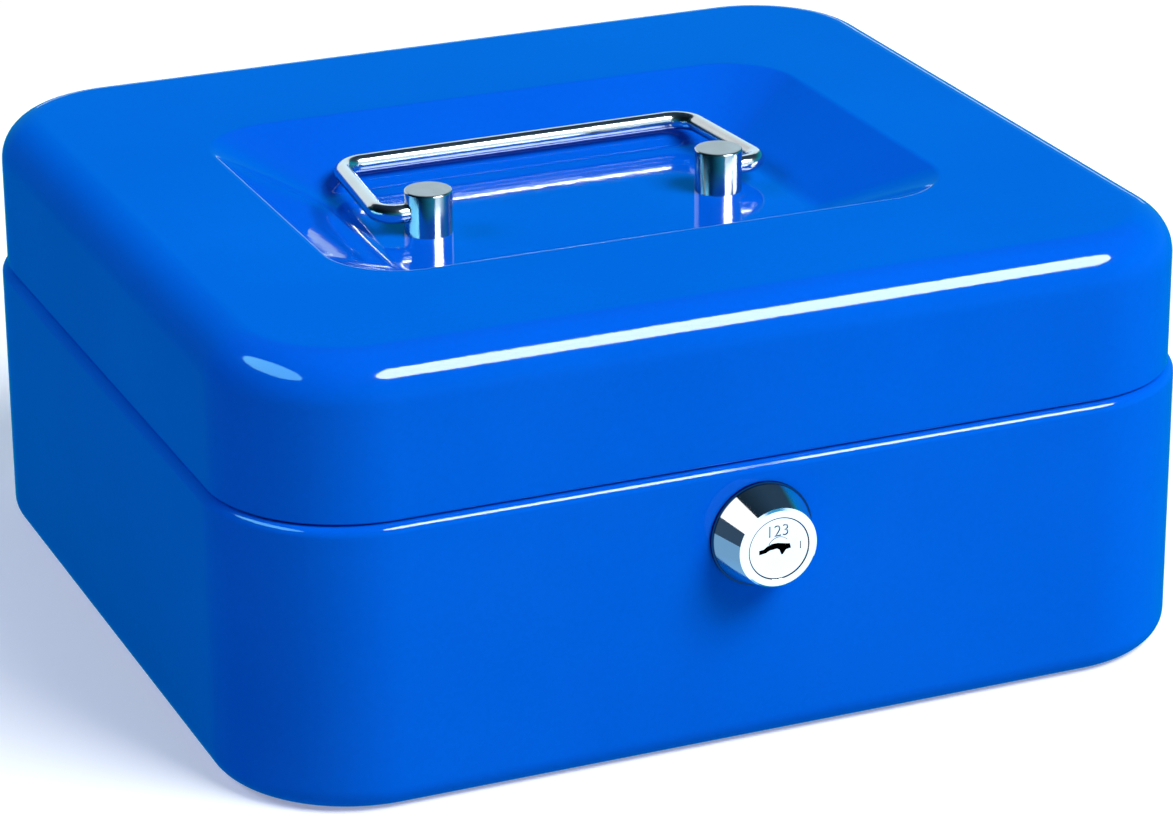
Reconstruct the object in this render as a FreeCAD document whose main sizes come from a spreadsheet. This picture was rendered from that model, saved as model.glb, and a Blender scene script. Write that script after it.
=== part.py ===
import FreeCAD, Part
import math
import os
import Sketcher

# A steel cash box: a drawn lower box, an overlapping drawn lid on a piano hinge, a wire bail handle that
# folds into a well in the lid, a wafer lock with a turning cam, and a lift-out coin tray.
# Frame: origin at the middle of the flat underside, +X to the right, +Y to the rear, +Z up.
# All sizes are millimetres, and degrees where the name says angle.

SIZES = (
    # Lower box and lid, drawn from one thickness of sheet.
    ("sheet", 0.8),
    ("lid_width", 200.0),
    ("lid_depth", 184.0),
    ("lid_corner", 27.5),
    ("lid_crown", 9.0),
    ("overall_height", 90.0),
    ("seam_height", 58.4),
    ("base_step", 1.2),
    ("base_foot_radius", 5.0),
    ("shoulder_radius", 2.0),
    ("closing_gap", 0.3),
    ("rim_gap", 0.4),
    ("rim_rise", 5.0),
    ("floor_ring", 16.0),
    ("floor_raise", 1.2),
    ("floor_slope", 3.0),
    # Well in the lid.
    ("well_width", 131.0),
    ("well_reach", 96.0),
    ("well_corner", 16.0),
    ("well_floor_width", 91.0),
    ("well_floor_reach", 54.0),
    ("well_floor_corner", 8.0),
    ("well_drop", 10.0),
    ("well_shift", -1.8),
    ("well_lip_radius", 3.0),
    ("well_floor_radius", 8.0),
    ("well_slope_angle", 23.4),
    # Bail handle on two posts.
    ("post_spread", 32.0),
    ("post_shift", -4.0),
    ("post_radius", 4.9),
    ("post_height", 9.0),
    ("post_edge", 0.4),
    ("pivot_rise", 4.6),
    ("pivot_play", 0.1),
    ("wire_radius", 1.9),
    ("bail_stub_end", 33.9),
    ("bail_stub_room", 0.2),
    ("bail_front_half", 42.3),
    ("bail_lean_angle", 4.9),
    ("bail_reach", 32.5),
    ("bail_front_bend", 4.2),
    ("bail_rear_bend", 5.5),
    ("bail_rest_angle", 0.3),
    ("screw_radius", 1.45),
    ("screw_hole_play", 0.25),
    ("screw_thread_play", 0.05),
    ("screw_grip", 6.2),
    ("screw_head_radius", 2.8),
    ("screw_head_height", 2.0),
    ("screw_slot_width", 0.8),
    ("screw_slot_deep", 1.0),
    ("screw_head_edge", 0.6),
    ("screw_point", 0.4),
    ("tap_run_out", 0.3),
    ("post_washer_radius", 3.8),
    ("post_washer_thickness", 0.5),
    # Piano hinge.
    ("hinge_set_in", 1.4),
    ("hinge_length", 164.0),
    ("hinge_notch_length", 167.0),
    ("hinge_notch_half", 2.5),
    ("hinge_leaf_length", 144.0),
    ("hinge_leaf_reach", 14.0),
    ("hinge_leaf_start", 2.3),
    ("knuckle_radius", 1.8),
    ("knuckle_bore", 1.0),
    ("knuckle_gap", 0.2),
    ("hinge_tab_gap", 0.3),
    ("pin_radius", 0.95),
    # Lock, along its own axis: zero at the outer face of the front wall, positive outwards.
    ("lock_height", 43.8),
    ("lock_hole_play", 0.15),
    ("bezel_flange_radius", 10.5),
    ("bezel_flange_height", 0.6),
    ("bezel_foot_radius", 10.1),
    ("bezel_edge_radius", 8.0),
    ("bezel_edge_height", 7.9),
    ("bezel_face_radius", 7.6),
    ("bezel_face_height", 8.3),
    ("barrel_radius", 7.9),
    ("barrel_length", 12.0),
    ("barrel_flats", 13.8),
    ("plug_head_radius", 6.25),
    ("plug_head_height", 1.9),
    ("plug_sunk", 0.15),
    ("plug_radius", 5.2),
    ("plug_play", 0.05),
    ("plug_tail_gap", 0.2),
    ("plug_tail_side", 6.0),
    ("plug_tail_length", 1.4),
    ("chamber_width", 4.9),
    ("chamber_reach", 13.6),
    ("chamber_top", 2.0),
    ("keyway_deep", 18.0),
    ("keyway_side", -0.8),
    ("lock_washer_radius", 10.6),
    ("lock_washer_thickness", 1.0),
    ("lock_nut_flats", 18.0),
    ("lock_nut_height", 3.5),
    ("nut_thread_play", 0.05),
    ("wafer_thickness", 0.7),
    ("wafer_slot", 0.8),
    ("wafer_pitch", 2.2),
    ("wafer_first", 1.2),
    ("wafer_width", 4.5),
    ("wafer_radius", 5.1),
    ("wafer_play", 0.05),
    ("wafer_window_long", 6.8),
    ("wafer_window_high", 2.7),
    ("wafer_window_drop", 0.1),
    ("wafer_ear_start", 2.2),
    ("wafer_ear_end", 3.0),
    ("wafer_ear_root", 0.5),
    ("wafer_ear_top", 3.65),
    ("spring_pocket_start", -0.6),
    ("spring_pocket_end", 3.3),
    ("spring_pocket_top", 3.75),
    ("spring_coil_radius", 0.26),
    ("spring_wire_radius", 0.07),
    ("spring_length", 2.7),
    ("spring_start", -0.52),
    ("spring_side", 3.05),
    ("cam_length", 14.0),
    ("cam_half_width", 3.5),
    ("cam_hub_radius", 6.0),
    ("cam_thickness", 1.5),
    ("cam_hole_play", 0.05),
    ("cam_washer_radius", 4.5),
    ("cam_washer_thickness", 0.8),
    ("cam_screw_head_radius", 3.0),
    ("cam_screw_head_height", 2.0),
    ("cam_screw_grip", 4.0),
    # Strike inside the lid, a bent bracket with a window that the cam turns into.
    ("strike_side", 11.4),
    ("strike_thickness", 1.5),
    ("strike_flange_width", 14.0),
    ("strike_flange_low", 66.0),
    ("strike_flange_high", 77.0),
    ("strike_tongue_low", 36.6),
    ("strike_front_gap", 3.2),
    ("strike_tongue_reach", 16.0),
    ("strike_bar", 3.2),
    ("strike_window_high", 14.8),
    ("strike_window_front", 4.0),
    ("strike_window_reach", 8.0),
    # Lift-out coin tray.
    ("tray_wall", 1.3),
    ("tray_side_gap", 1.2),
    ("tray_lip", 1.6),
    ("tray_rear_gap", 0.8),
    ("tray_lip_thickness", 1.3),
    ("tray_rest_gap", 0.3),
    ("tray_deep", 33.0),
    ("tray_corner", 32.0),
    ("tray_row_split", -2.0),
    ("tray_notch_left", 17.0),
    ("tray_notch_right", 27.5),
    ("tray_notch_deep", 21.0),
    ("cup_corner", 7.0),
    ("cup_round", 6.0),
    ("tray_grip_width", 34.0),
    ("tray_grip_thickness", 2.6),
    ("tray_grip_height", 6.0),
)

WAFER_CUTS = (0.4, -0.3, 0.6, 0.0, -0.5)
SPRING_TURNS = 6
KNUCKLES = 13
# The keyway's outline on the plug's face, across and up from its middle: a dished slot of two shallow
# arches, with a tooth below the right half.
KEYWAY = (
    (-3.3, -0.75), (-1.9, -0.55), (-1.1, -0.15), (0.4, 0.0), (0.9, -0.3), (1.3, -1.35), (1.6, -1.35),
    (2.3, -0.45), (3.3, -0.3), (3.1, 0.65), (2.2, 0.8), (0.6, 1.15), (-0.6, 1.15), (-1.7, 0.75),
    (-2.3, 0.3), (-3.3, 0.15))
ALONG_X = FreeCAD.Vector(1, 0, 0)
ALONG_Y = FreeCAD.Vector(0, 1, 0)
ALONG_Z = FreeCAD.Vector(0, 0, 1)
ORIGIN = FreeCAD.Vector(0, 0, 0)

doc = FreeCAD.newDocument("CashBox")
sheet = doc.addObject("Spreadsheet::Sheet", "Sizes")
for row, (alias, amount) in enumerate(SIZES, start=1):
    sheet.set(f"A{row}", alias)
    sheet.set(f"B{row}", str(amount))
    sheet.setAlias(f"B{row}", alias)
doc.recompute()

nodes = []


def size(alias):
    """The number that the sheet holds under this alias."""
    return float(sheet.get(alias))


def worked(expression):
    """The number that an expression on the sheet's aliases comes to."""
    return float(sheet.evalExpression(expression))


def bind(thing, **expressions):
    """Bind properties of a document object to expressions on the sheet."""
    for name, expression in expressions.items():
        thing.setExpression(name, expression)


def place(thing, x="0", y="0", z="0", turn=None):
    """Put a piece at a bound position, turned by a fixed rotation."""
    if turn is not None:
        thing.Placement = FreeCAD.Placement(ORIGIN, turn)
    thing.setExpression("Placement.Base.x", x)
    thing.setExpression("Placement.Base.y", y)
    thing.setExpression("Placement.Base.z", z)


def node(thing, label):
    """Name a finished sub-part, which is also its file's name."""
    thing.Label = label
    nodes.append(thing)
    return thing


# Sketches and features of a PartDesign body.

def new_sketch(body, role, lift="0", shift_x="0", shift_y="0"):
    """A sketch on one of the body's own origin planes, lifted along its normal and shifted in its plane."""
    plane = next(item for item in body.Origin.OriginFeatures if item.Role == role)
    sketch = body.newObject("Sketcher::SketchObject", "Sketch")
    sketch.AttachmentSupport = (plane, [""])
    sketch.MapMode = "FlatFace"
    sketch.setExpression("AttachmentOffset.Base.x", shift_x)
    sketch.setExpression("AttachmentOffset.Base.y", shift_y)
    sketch.setExpression("AttachmentOffset.Base.z", lift)
    return sketch


def dimension(sketch, kind, name, expression, *references):
    """Add a sized constraint and bind it."""
    index = sketch.addConstraint(Sketcher.Constraint(kind, *references, worked(expression)))
    sketch.renameConstraint(index, name)
    sketch.setExpression(f"Constraints.{name}", expression)


def draw_circle(sketch, radius):
    """A circle about the sketch's origin."""
    sketch.addGeometry(Part.Circle(ORIGIN, ALONG_Z, worked(radius)), False)
    sketch.addConstraint(Sketcher.Constraint("Coincident", 0, 3, -1, 1))
    dimension(sketch, "Radius", "radius", radius, 0)
    return sketch


def draw_outline(sketch, corners):
    """A closed outline of straight lines through corners given as pairs of expressions."""
    points = [FreeCAD.Vector(worked(x), worked(y), 0) for x, y in corners]
    for index, start in enumerate(points):
        end = points[(index + 1) % len(points)]
        sketch.addGeometry(Part.LineSegment(start, end), False)
    for index, (x, y) in enumerate(corners):
        previous = (index - 1) % len(corners)
        sketch.addConstraint(Sketcher.Constraint("Coincident", previous, 2, index, 1))
        for kind, axis, number, expression in (("X", -2, points[index].x, x), ("Y", -1, points[index].y, y)):
            if abs(number) < 1e-9:
                sketch.addConstraint(Sketcher.Constraint("PointOnObject", index, 1, axis))
            else:
                dimension(sketch, f"Distance{kind}", f"corner{index}{kind}", expression, -1, 1, index, 1)
    return sketch


def draw_rectangle(sketch, width, height):
    """A rectangle centred on the sketch's origin."""
    half_x = f"({width}) / 2"
    half_y = f"({height}) / 2"
    return draw_outline(sketch, [
        (f"-{half_x}", f"-{half_y}"), (half_x, f"-{half_y}"), (half_x, half_y), (f"-{half_x}", half_y)])


def draw_rounded(sketch, width, height, corner):
    """A rectangle with round corners, centred on the sketch's origin. The corner radius is one expression, or
    four, anticlockwise from the lower right."""
    radii = [corner] * 4 if isinstance(corner, str) else corner
    x = worked(width) / 2
    y = worked(height) / 2
    r0, r1, r2, r3 = (worked(radius) for radius in radii)
    sides = (
        ((r3 - x, -y), (x - r0, -y)), ((x, r0 - y), (x, y - r1)),
        ((x - r1, y), (r2 - x, y)), ((-x, y - r2), (-x, r3 - y)))
    centres = ((x - r0, r0 - y), (x - r1, y - r1), (r2 - x, y - r2), (r3 - x, r3 - y))
    quarter = math.pi / 2
    for index, radius in enumerate((r0, r1, r2, r3)):
        start, end = sides[index]
        sketch.addGeometry(Part.LineSegment(FreeCAD.Vector(*start, 0), FreeCAD.Vector(*end, 0)), False)
        circle = Part.Circle(FreeCAD.Vector(*centres[index], 0), ALONG_Z, radius)
        sketch.addGeometry(Part.ArcOfCircle(circle, (index - 1) * quarter, index * quarter), False)
    for index, radius in enumerate(radii):
        side = 2 * index
        arc = side + 1
        sketch.addConstraint(Sketcher.Constraint("Tangent", side, 2, arc, 1))
        sketch.addConstraint(Sketcher.Constraint("Tangent", arc, 2, (side + 2) % 8, 1))
        sketch.addConstraint(Sketcher.Constraint("Horizontal" if index % 2 == 0 else "Vertical", side))
        dimension(sketch, "Radius", f"corner{index}", radius, arc)
    dimension(sketch, "DistanceY", "lower", f"({height}) / 2", 0, 1, -1, 1)
    dimension(sketch, "DistanceX", "right", f"({width}) / 2", -1, 1, 2, 1)
    dimension(sketch, "DistanceY", "upper", f"({height}) / 2", -1, 1, 4, 1)
    dimension(sketch, "DistanceX", "left", f"({width}) / 2", 6, 1, -1, 1)
    return sketch


def draw_double_flat(sketch, radius, flats):
    """A round with two flats, above and below."""
    r = worked(radius)
    y = worked(flats) / 2
    x = math.sqrt(r * r - y * y)
    angle = math.atan2(y, x)
    circle = Part.Circle(ORIGIN, ALONG_Z, r)
    sketch.addGeometry(Part.ArcOfCircle(circle, -angle, angle), False)
    sketch.addGeometry(Part.LineSegment(FreeCAD.Vector(x, y, 0), FreeCAD.Vector(-x, y, 0)), False)
    sketch.addGeometry(Part.ArcOfCircle(circle, math.pi - angle, math.pi + angle), False)
    sketch.addGeometry(Part.LineSegment(FreeCAD.Vector(-x, -y, 0), FreeCAD.Vector(x, -y, 0)), False)
    for index in range(4):
        sketch.addConstraint(Sketcher.Constraint("Coincident", index, 2, (index + 1) % 4, 1))
    sketch.addConstraint(Sketcher.Constraint("Coincident", 0, 3, -1, 1))
    sketch.addConstraint(Sketcher.Constraint("Coincident", 2, 3, -1, 1))
    sketch.addConstraint(Sketcher.Constraint("Horizontal", 1))
    sketch.addConstraint(Sketcher.Constraint("Horizontal", 3))
    sketch.addConstraint(Sketcher.Constraint("Equal", 0, 2))
    dimension(sketch, "Radius", "radius", radius, 0)
    dimension(sketch, "DistanceY", "upper", f"({flats}) / 2", -1, 1, 1, 1)
    dimension(sketch, "DistanceY", "lower", f"({flats}) / 2", 3, 1, -1, 1)
    return sketch


def feature(body, kind, sketch=None, **expressions):
    """Add a feature, on a sketch if it has one, with its sizes bound."""
    made = body.newObject(f"PartDesign::{kind}", kind)
    if sketch is not None:
        made.Profile = sketch
        sketch.Visibility = False
    bind(made, **expressions)
    return made


def pad(body, sketch, length, back=False):
    """Pad along the sketch's normal, or against it."""
    made = feature(body, "Pad", sketch, Length=length)
    made.Reversed = back
    doc.recompute()
    return made


def pocket(body, sketch, length=None, back=False):
    """Pocket against the sketch's normal, or along it when back is set. It must take material away."""
    before = body.Shape.Volume
    made = feature(body, "Pocket", sketch)
    made.Reversed = back
    if length is None:
        made.Type = "ThroughAll"
    else:
        made.setExpression("Length", length)
    doc.recompute()
    if not body.Shape.Volume < before - 1e-6:
        raise RuntimeError(f"a pocket in {body.Name} cuts nothing")
    return made


def revolve(body, sketch):
    """Turn a half profile, drawn against the sketch's vertical axis, all the way round."""
    made = feature(body, "Revolution", sketch)
    made.ReferenceAxis = (sketch, ["V_Axis"])
    made.Angle = 360
    doc.recompute()
    return made


def subtract_loft(body, first, second):
    """Cut the straight-sided space between two sketches."""
    before = body.Shape.Volume
    made = feature(body, "SubtractiveLoft", first)
    made.Sections = [second]
    made.Ruled = True
    doc.recompute()
    if not body.Shape.Volume < before - 1e-6:
        raise RuntimeError(f"a loft in {body.Name} cuts nothing")
    return made


def fillet(body, base, radius, chosen):
    """Round the edges of a feature for which chosen(edge) is true."""
    names = [f"Edge{index}" for index, edge in enumerate(base.Shape.Edges, start=1) if chosen(edge)]
    if not names:
        raise RuntimeError(f"no edges to round on {base.Name}")
    made = body.newObject("PartDesign::Fillet", "Fillet")
    made.Base = (base, names)
    made.setExpression("Radius", radius)
    doc.recompute()
    return made


def hollow(body, base, chosen, thickness):
    """Turn a solid into sheet of one thickness, open at the face for which chosen(face) is true."""
    names = [f"Face{index}" for index, face in enumerate(base.Shape.Faces, start=1) if chosen(face)]
    made = body.newObject("PartDesign::Thickness", "Thickness")
    made.Base = (base, names)
    made.setExpression("Value", thickness)
    made.Reversed = True
    made.Join = "Intersection"
    doc.recompute()
    return made


def level(height):
    """A test for edges or faces that lie flat at this height."""
    def chosen(item):
        box = item.BoundBox
        return abs(box.ZMin - height) < 1e-4 and abs(box.ZMax - height) < 1e-4
    return chosen


def new_body(name):
    return doc.addObject("PartDesign::Body", name)


# Primitives and booleans.

def solid(kind, at=("0", "0", "0"), turn=None, **expressions):
    """A Part primitive with bound sizes at a bound position."""
    made = doc.addObject(f"Part::{kind}", kind)
    bind(made, **expressions)
    place(made, *at, turn)
    return made


def block(low, high):
    """A box between two corners given as triples of expressions."""
    spans = [f"({top}) - ({bottom})" for bottom, top in zip(low, high)]
    return solid("Box", low, Length=spans[0], Width=spans[1], Height=spans[2])


def rod(radius, length, at=("0", "0", "0"), turn=None):
    return solid("Cylinder", at, turn, Radius=radius, Height=length)


def fuse(*shapes):
    made = doc.addObject("Part::MultiFuse", "Fuse")
    made.Shapes = list(shapes)
    return made


def cut(base, tool):
    made = doc.addObject("Part::Cut", "Cut")
    made.Base = base
    made.Tool = tool
    doc.recompute()
    if not made.Shape.Volume < base.Shape.Volume - 1e-6:
        raise RuntimeError(f"a cut from {base.Name} takes nothing away")
    return made


def common(first, second):
    made = doc.addObject("Part::MultiCommon", "Common")
    made.Shapes = [first, second]
    return made


# Expressions that several pieces share.
BASE_WIDTH = "(Sizes.lid_width + 2 * Sizes.base_step)"
BASE_DEPTH = "(Sizes.lid_depth + 2 * Sizes.base_step)"
BASE_WALL = "(Sizes.seam_height - Sizes.closing_gap)"
RIM_TOP = f"({BASE_WALL} + Sizes.rim_rise)"
RIM_INSET = "(Sizes.sheet + Sizes.rim_gap)"
LID_HEIGHT = "(Sizes.overall_height - Sizes.seam_height)"
HINGE_Y = "(Sizes.lid_depth / 2 - Sizes.hinge_set_in)"
FRONT_WALL = f"(-{BASE_DEPTH} / 2)"
WELL_FLOOR = "(Sizes.overall_height - Sizes.well_drop)"
BAIL_REAR_HALF = "(Sizes.bail_front_half - Sizes.bail_reach * tan(Sizes.bail_lean_angle))"
FACING_FRONT = FreeCAD.Rotation(ALONG_X, 90)
FACING_RIGHT = FreeCAD.Rotation(ALONG_Y, 90)


def place_on_lock(thing, label):
    """Put a lock piece, made along +Z, on the lock's axis with +Z facing the front."""
    place(thing, "0", FRONT_WALL, "Sizes.lock_height", FACING_FRONT)
    return node(thing, label)


# Lower box: a drawn tray of sheet with a rounded foot, a rounded shoulder and a rim that the lid covers.

def make_base_shell():
    body = new_body("BaseShell")
    outer = draw_rounded(
        new_sketch(body, "XY_Plane"), BASE_WIDTH, BASE_DEPTH, "Sizes.lid_corner + Sizes.base_step")
    block_of_metal = pad(body, outer, BASE_WALL)
    foot = fillet(body, block_of_metal, "Sizes.base_foot_radius", level(0))
    shoulder = fillet(body, foot, "Sizes.shoulder_radius", level(worked(BASE_WALL)))
    rim = draw_rounded(
        new_sketch(body, "XY_Plane", lift=BASE_WALL),
        f"Sizes.lid_width - 2 * {RIM_INSET}", f"Sizes.lid_depth - 2 * {RIM_INSET}",
        f"Sizes.lid_corner - {RIM_INSET}")
    pad(body, rim, "Sizes.rim_rise")
    ring = new_sketch(body, "XY_Plane")
    draw_rounded(
        ring, f"{BASE_WIDTH} - 2 * Sizes.floor_ring", f"{BASE_DEPTH} - 2 * Sizes.floor_ring",
        "Sizes.lid_corner + Sizes.base_step - Sizes.floor_ring")
    panel = new_sketch(body, "XY_Plane", lift="Sizes.floor_raise")
    inset = "(Sizes.floor_ring + Sizes.floor_slope)"
    draw_rounded(
        panel, f"{BASE_WIDTH} - 2 * {inset}", f"{BASE_DEPTH} - 2 * {inset}",
        f"Sizes.lid_corner + Sizes.base_step - {inset}")
    pressed = subtract_loft(body, ring, panel)
    hollow(body, pressed, level(worked(RIM_TOP)), "Sizes.sheet")
    hole = new_sketch(
        body, "XZ_Plane", lift=f"{BASE_DEPTH} / 2 - 2 * Sizes.sheet", shift_y="Sizes.lock_height")
    draw_double_flat(
        hole, "Sizes.barrel_radius + Sizes.lock_hole_play", "Sizes.barrel_flats + 2 * Sizes.lock_hole_play")
    pocket(body, hole, back=True)
    notch = new_sketch(body, "XZ_Plane", lift="-Sizes.lid_depth / 4")
    notch_low = "Sizes.seam_height - Sizes.hinge_notch_half"
    notch_high = f"{RIM_TOP} + 1"
    draw_outline(notch, [
        ("-Sizes.hinge_notch_length / 2", notch_low), ("Sizes.hinge_notch_length / 2", notch_low),
        ("Sizes.hinge_notch_length / 2", notch_high), ("-Sizes.hinge_notch_length / 2", notch_high)])
    pocket(body, notch)
    return node(body, "base_shell")


# Lid: drawn sheet with a soft crown and a dished well for the handle.

def make_lid_form(inset):
    """The lid as a solid block, drawn in from the outer surface by an inset that is zero or the sheet."""
    body = new_body("LidForm")
    height = f"({LID_HEIGHT} - {inset})"
    outer = new_sketch(body, "XY_Plane")
    draw_rounded(
        outer, f"Sizes.lid_width - 2 * {inset}", f"Sizes.lid_depth - 2 * {inset}",
        f"Sizes.lid_corner - {inset}")
    block_of_metal = pad(body, outer, height)
    crown = fillet(body, block_of_metal, f"Sizes.lid_crown - {inset}", level(worked(height)))
    spread = f"({inset} * tan(Sizes.well_slope_angle / 2))"
    lip = new_sketch(body, "XY_Plane", lift=height, shift_y="Sizes.well_shift")
    draw_rounded(
        lip, f"Sizes.well_width + 2 * {spread}", f"Sizes.well_reach + 2 * {spread}",
        f"Sizes.well_corner + {spread}")
    floor = new_sketch(body, "XY_Plane", lift=f"{height} - Sizes.well_drop", shift_y="Sizes.well_shift")
    draw_rounded(
        floor, f"Sizes.well_floor_width + 2 * {spread}", f"Sizes.well_floor_reach + 2 * {spread}",
        f"Sizes.well_floor_corner + {spread}")
    well = subtract_loft(body, lip, floor)
    inner_half = size("well_width") / 2 + 1

    def lip_edge(edge):
        return level(worked(height))(edge) and abs(edge.BoundBox.XMax) < inner_half

    rounded_lip = fillet(body, well, f"Sizes.well_lip_radius - {inset}", lip_edge)
    floor_level = worked(f"{height} - Sizes.well_drop")
    fillet(body, rounded_lip, f"Sizes.well_floor_radius + {inset}", level(floor_level))
    return body


def make_lid_shell():
    walls = cut(make_lid_form("0"), make_lid_form("Sizes.sheet"))
    hole_radius = "Sizes.screw_radius + Sizes.screw_hole_play"
    holes = []
    for side in ("-", ""):
        holes.append(rod(hole_radius, LID_HEIGHT, (f"{side}Sizes.post_spread", "Sizes.post_shift", "0")))
    notch = block(
        ("-Sizes.hinge_notch_length / 2", "Sizes.lid_depth / 4", "-1"),
        ("Sizes.hinge_notch_length / 2", "Sizes.lid_depth", "Sizes.hinge_notch_half"))
    shell = cut(walls, fuse(*holes, notch))
    place(shell, z="Sizes.seam_height")
    return node(shell, "lid_shell")


# Piano hinge: knuckles of the two leaves alternate along one pin.

def make_leaf(label, first, plate_low, plate_high, tab_low, tab_high, near, far):
    """One leaf about the hinge's axis: a plate between near and far in Y, and tabs up to the knuckles."""
    pitch = f"(Sizes.hinge_length / {KNUCKLES})"
    half = "(Sizes.hinge_leaf_length / 2)"
    pieces = [block((f"-{half}", near, plate_low), (half, far, plate_high))]
    for index in range(first, KNUCKLES, 2):
        start = f"(-Sizes.hinge_length / 2 + {index} * {pitch} + Sizes.knuckle_gap / 2)"
        length = f"({pitch} - Sizes.knuckle_gap)"
        pieces.append(rod("Sizes.knuckle_radius", length, (start, "0", "0"), FACING_RIGHT))
        tab_start = f"max({start}; -{half})"
        tab_end = f"min({start} + {length}; {half})"
        pieces.append(block((tab_start, near, tab_low), (tab_end, far, tab_high)))
    bore_start = ("-Sizes.hinge_length / 2 - 1", "0", "0")
    bore = rod("Sizes.knuckle_bore", "Sizes.hinge_length + 2", bore_start, FACING_RIGHT)
    leaf = cut(fuse(*pieces), bore)
    place(leaf, "0", HINGE_Y, "Sizes.seam_height")
    return node(leaf, label)


def make_hinge():
    thickness = "Sizes.sheet"
    outer = f"(Sizes.hinge_set_in + Sizes.base_step - {thickness})"
    make_leaf(
        "hinge_base_leaf", 0, "-Sizes.hinge_leaf_reach", "-Sizes.hinge_leaf_start",
        "-Sizes.hinge_leaf_start", "0", f"{outer} - {thickness}", outer)
    inner = f"(Sizes.hinge_set_in - {thickness})"
    make_leaf(
        "hinge_lid_leaf", 1, "Sizes.hinge_leaf_start", "Sizes.hinge_leaf_reach",
        "Sizes.knuckle_bore + Sizes.hinge_tab_gap", "Sizes.hinge_leaf_start", f"{inner} - {thickness}", inner)
    pin = rod("Sizes.pin_radius", "Sizes.hinge_length", turn=FACING_RIGHT)
    place(pin, "-Sizes.hinge_length / 2", HINGE_Y, "Sizes.seam_height", FACING_RIGHT)
    node(pin, "hinge_pin")


# Handle: two turned posts screwed to the well, and a bent wire bail sprung into their side holes.

def make_post(label, side):
    body = new_body("Post")
    turned = pad(body, draw_circle(new_sketch(body, "XY_Plane"), "Sizes.post_radius"), "Sizes.post_height")
    fillet(body, turned, "Sizes.post_edge", level(size("post_height")))
    cross = new_sketch(
        body, "YZ_Plane", lift=f"{side} * (Sizes.bail_stub_end - Sizes.post_spread - Sizes.bail_stub_room)",
        shift_y="Sizes.pivot_rise")
    draw_circle(cross, "Sizes.wire_radius + Sizes.pivot_play")
    pocket(body, cross, "Sizes.post_radius * 2", back=side > 0)
    tapped = draw_circle(new_sketch(body, "XY_Plane"), "Sizes.screw_radius + Sizes.screw_thread_play")
    pocket(body, tapped, "Sizes.screw_grip + Sizes.tap_run_out", back=True)
    place(body, f"{side} * Sizes.post_spread", "Sizes.post_shift", WELL_FLOOR)
    return node(body, label)


def make_post_screw(label, side):
    washer_low = "(-Sizes.sheet - Sizes.post_washer_thickness)"
    head_low = f"({washer_low} - Sizes.screw_head_height)"
    body = new_body("PostScrew")
    profile = new_sketch(body, "XZ_Plane")
    draw_outline(profile, [
        ("0", head_low), ("Sizes.screw_head_radius - Sizes.screw_head_edge", head_low),
        ("Sizes.screw_head_radius", f"{head_low} + Sizes.screw_head_edge"),
        ("Sizes.screw_head_radius", washer_low), ("Sizes.screw_radius", washer_low),
        ("Sizes.screw_radius", "Sizes.screw_grip - Sizes.screw_point"),
        ("Sizes.screw_radius - Sizes.screw_point", "Sizes.screw_grip"), ("0", "Sizes.screw_grip")])
    revolve(body, profile)
    slot = new_sketch(body, "XY_Plane", lift=head_low)
    for_driver = draw_rectangle(slot, "Sizes.screw_head_radius * 3", "Sizes.screw_slot_width")
    pocket(body, for_driver, "Sizes.screw_slot_deep", back=True)
    place(body, f"{side} * Sizes.post_spread", "Sizes.post_shift", WELL_FLOOR)
    return node(body, label)


def make_post_washer(label, side):
    disc = rod("Sizes.post_washer_radius", "Sizes.post_washer_thickness")
    hole_radius = "Sizes.screw_radius + Sizes.screw_hole_play"
    hole = rod(hole_radius, "Sizes.post_washer_thickness + 2", ("0", "0", "-1"))
    washer = cut(disc, hole)
    low = f"{WELL_FLOOR} - Sizes.sheet - Sizes.post_washer_thickness"
    place(washer, f"{side} * Sizes.post_spread", "Sizes.post_shift", low)
    return node(washer, label)


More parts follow.
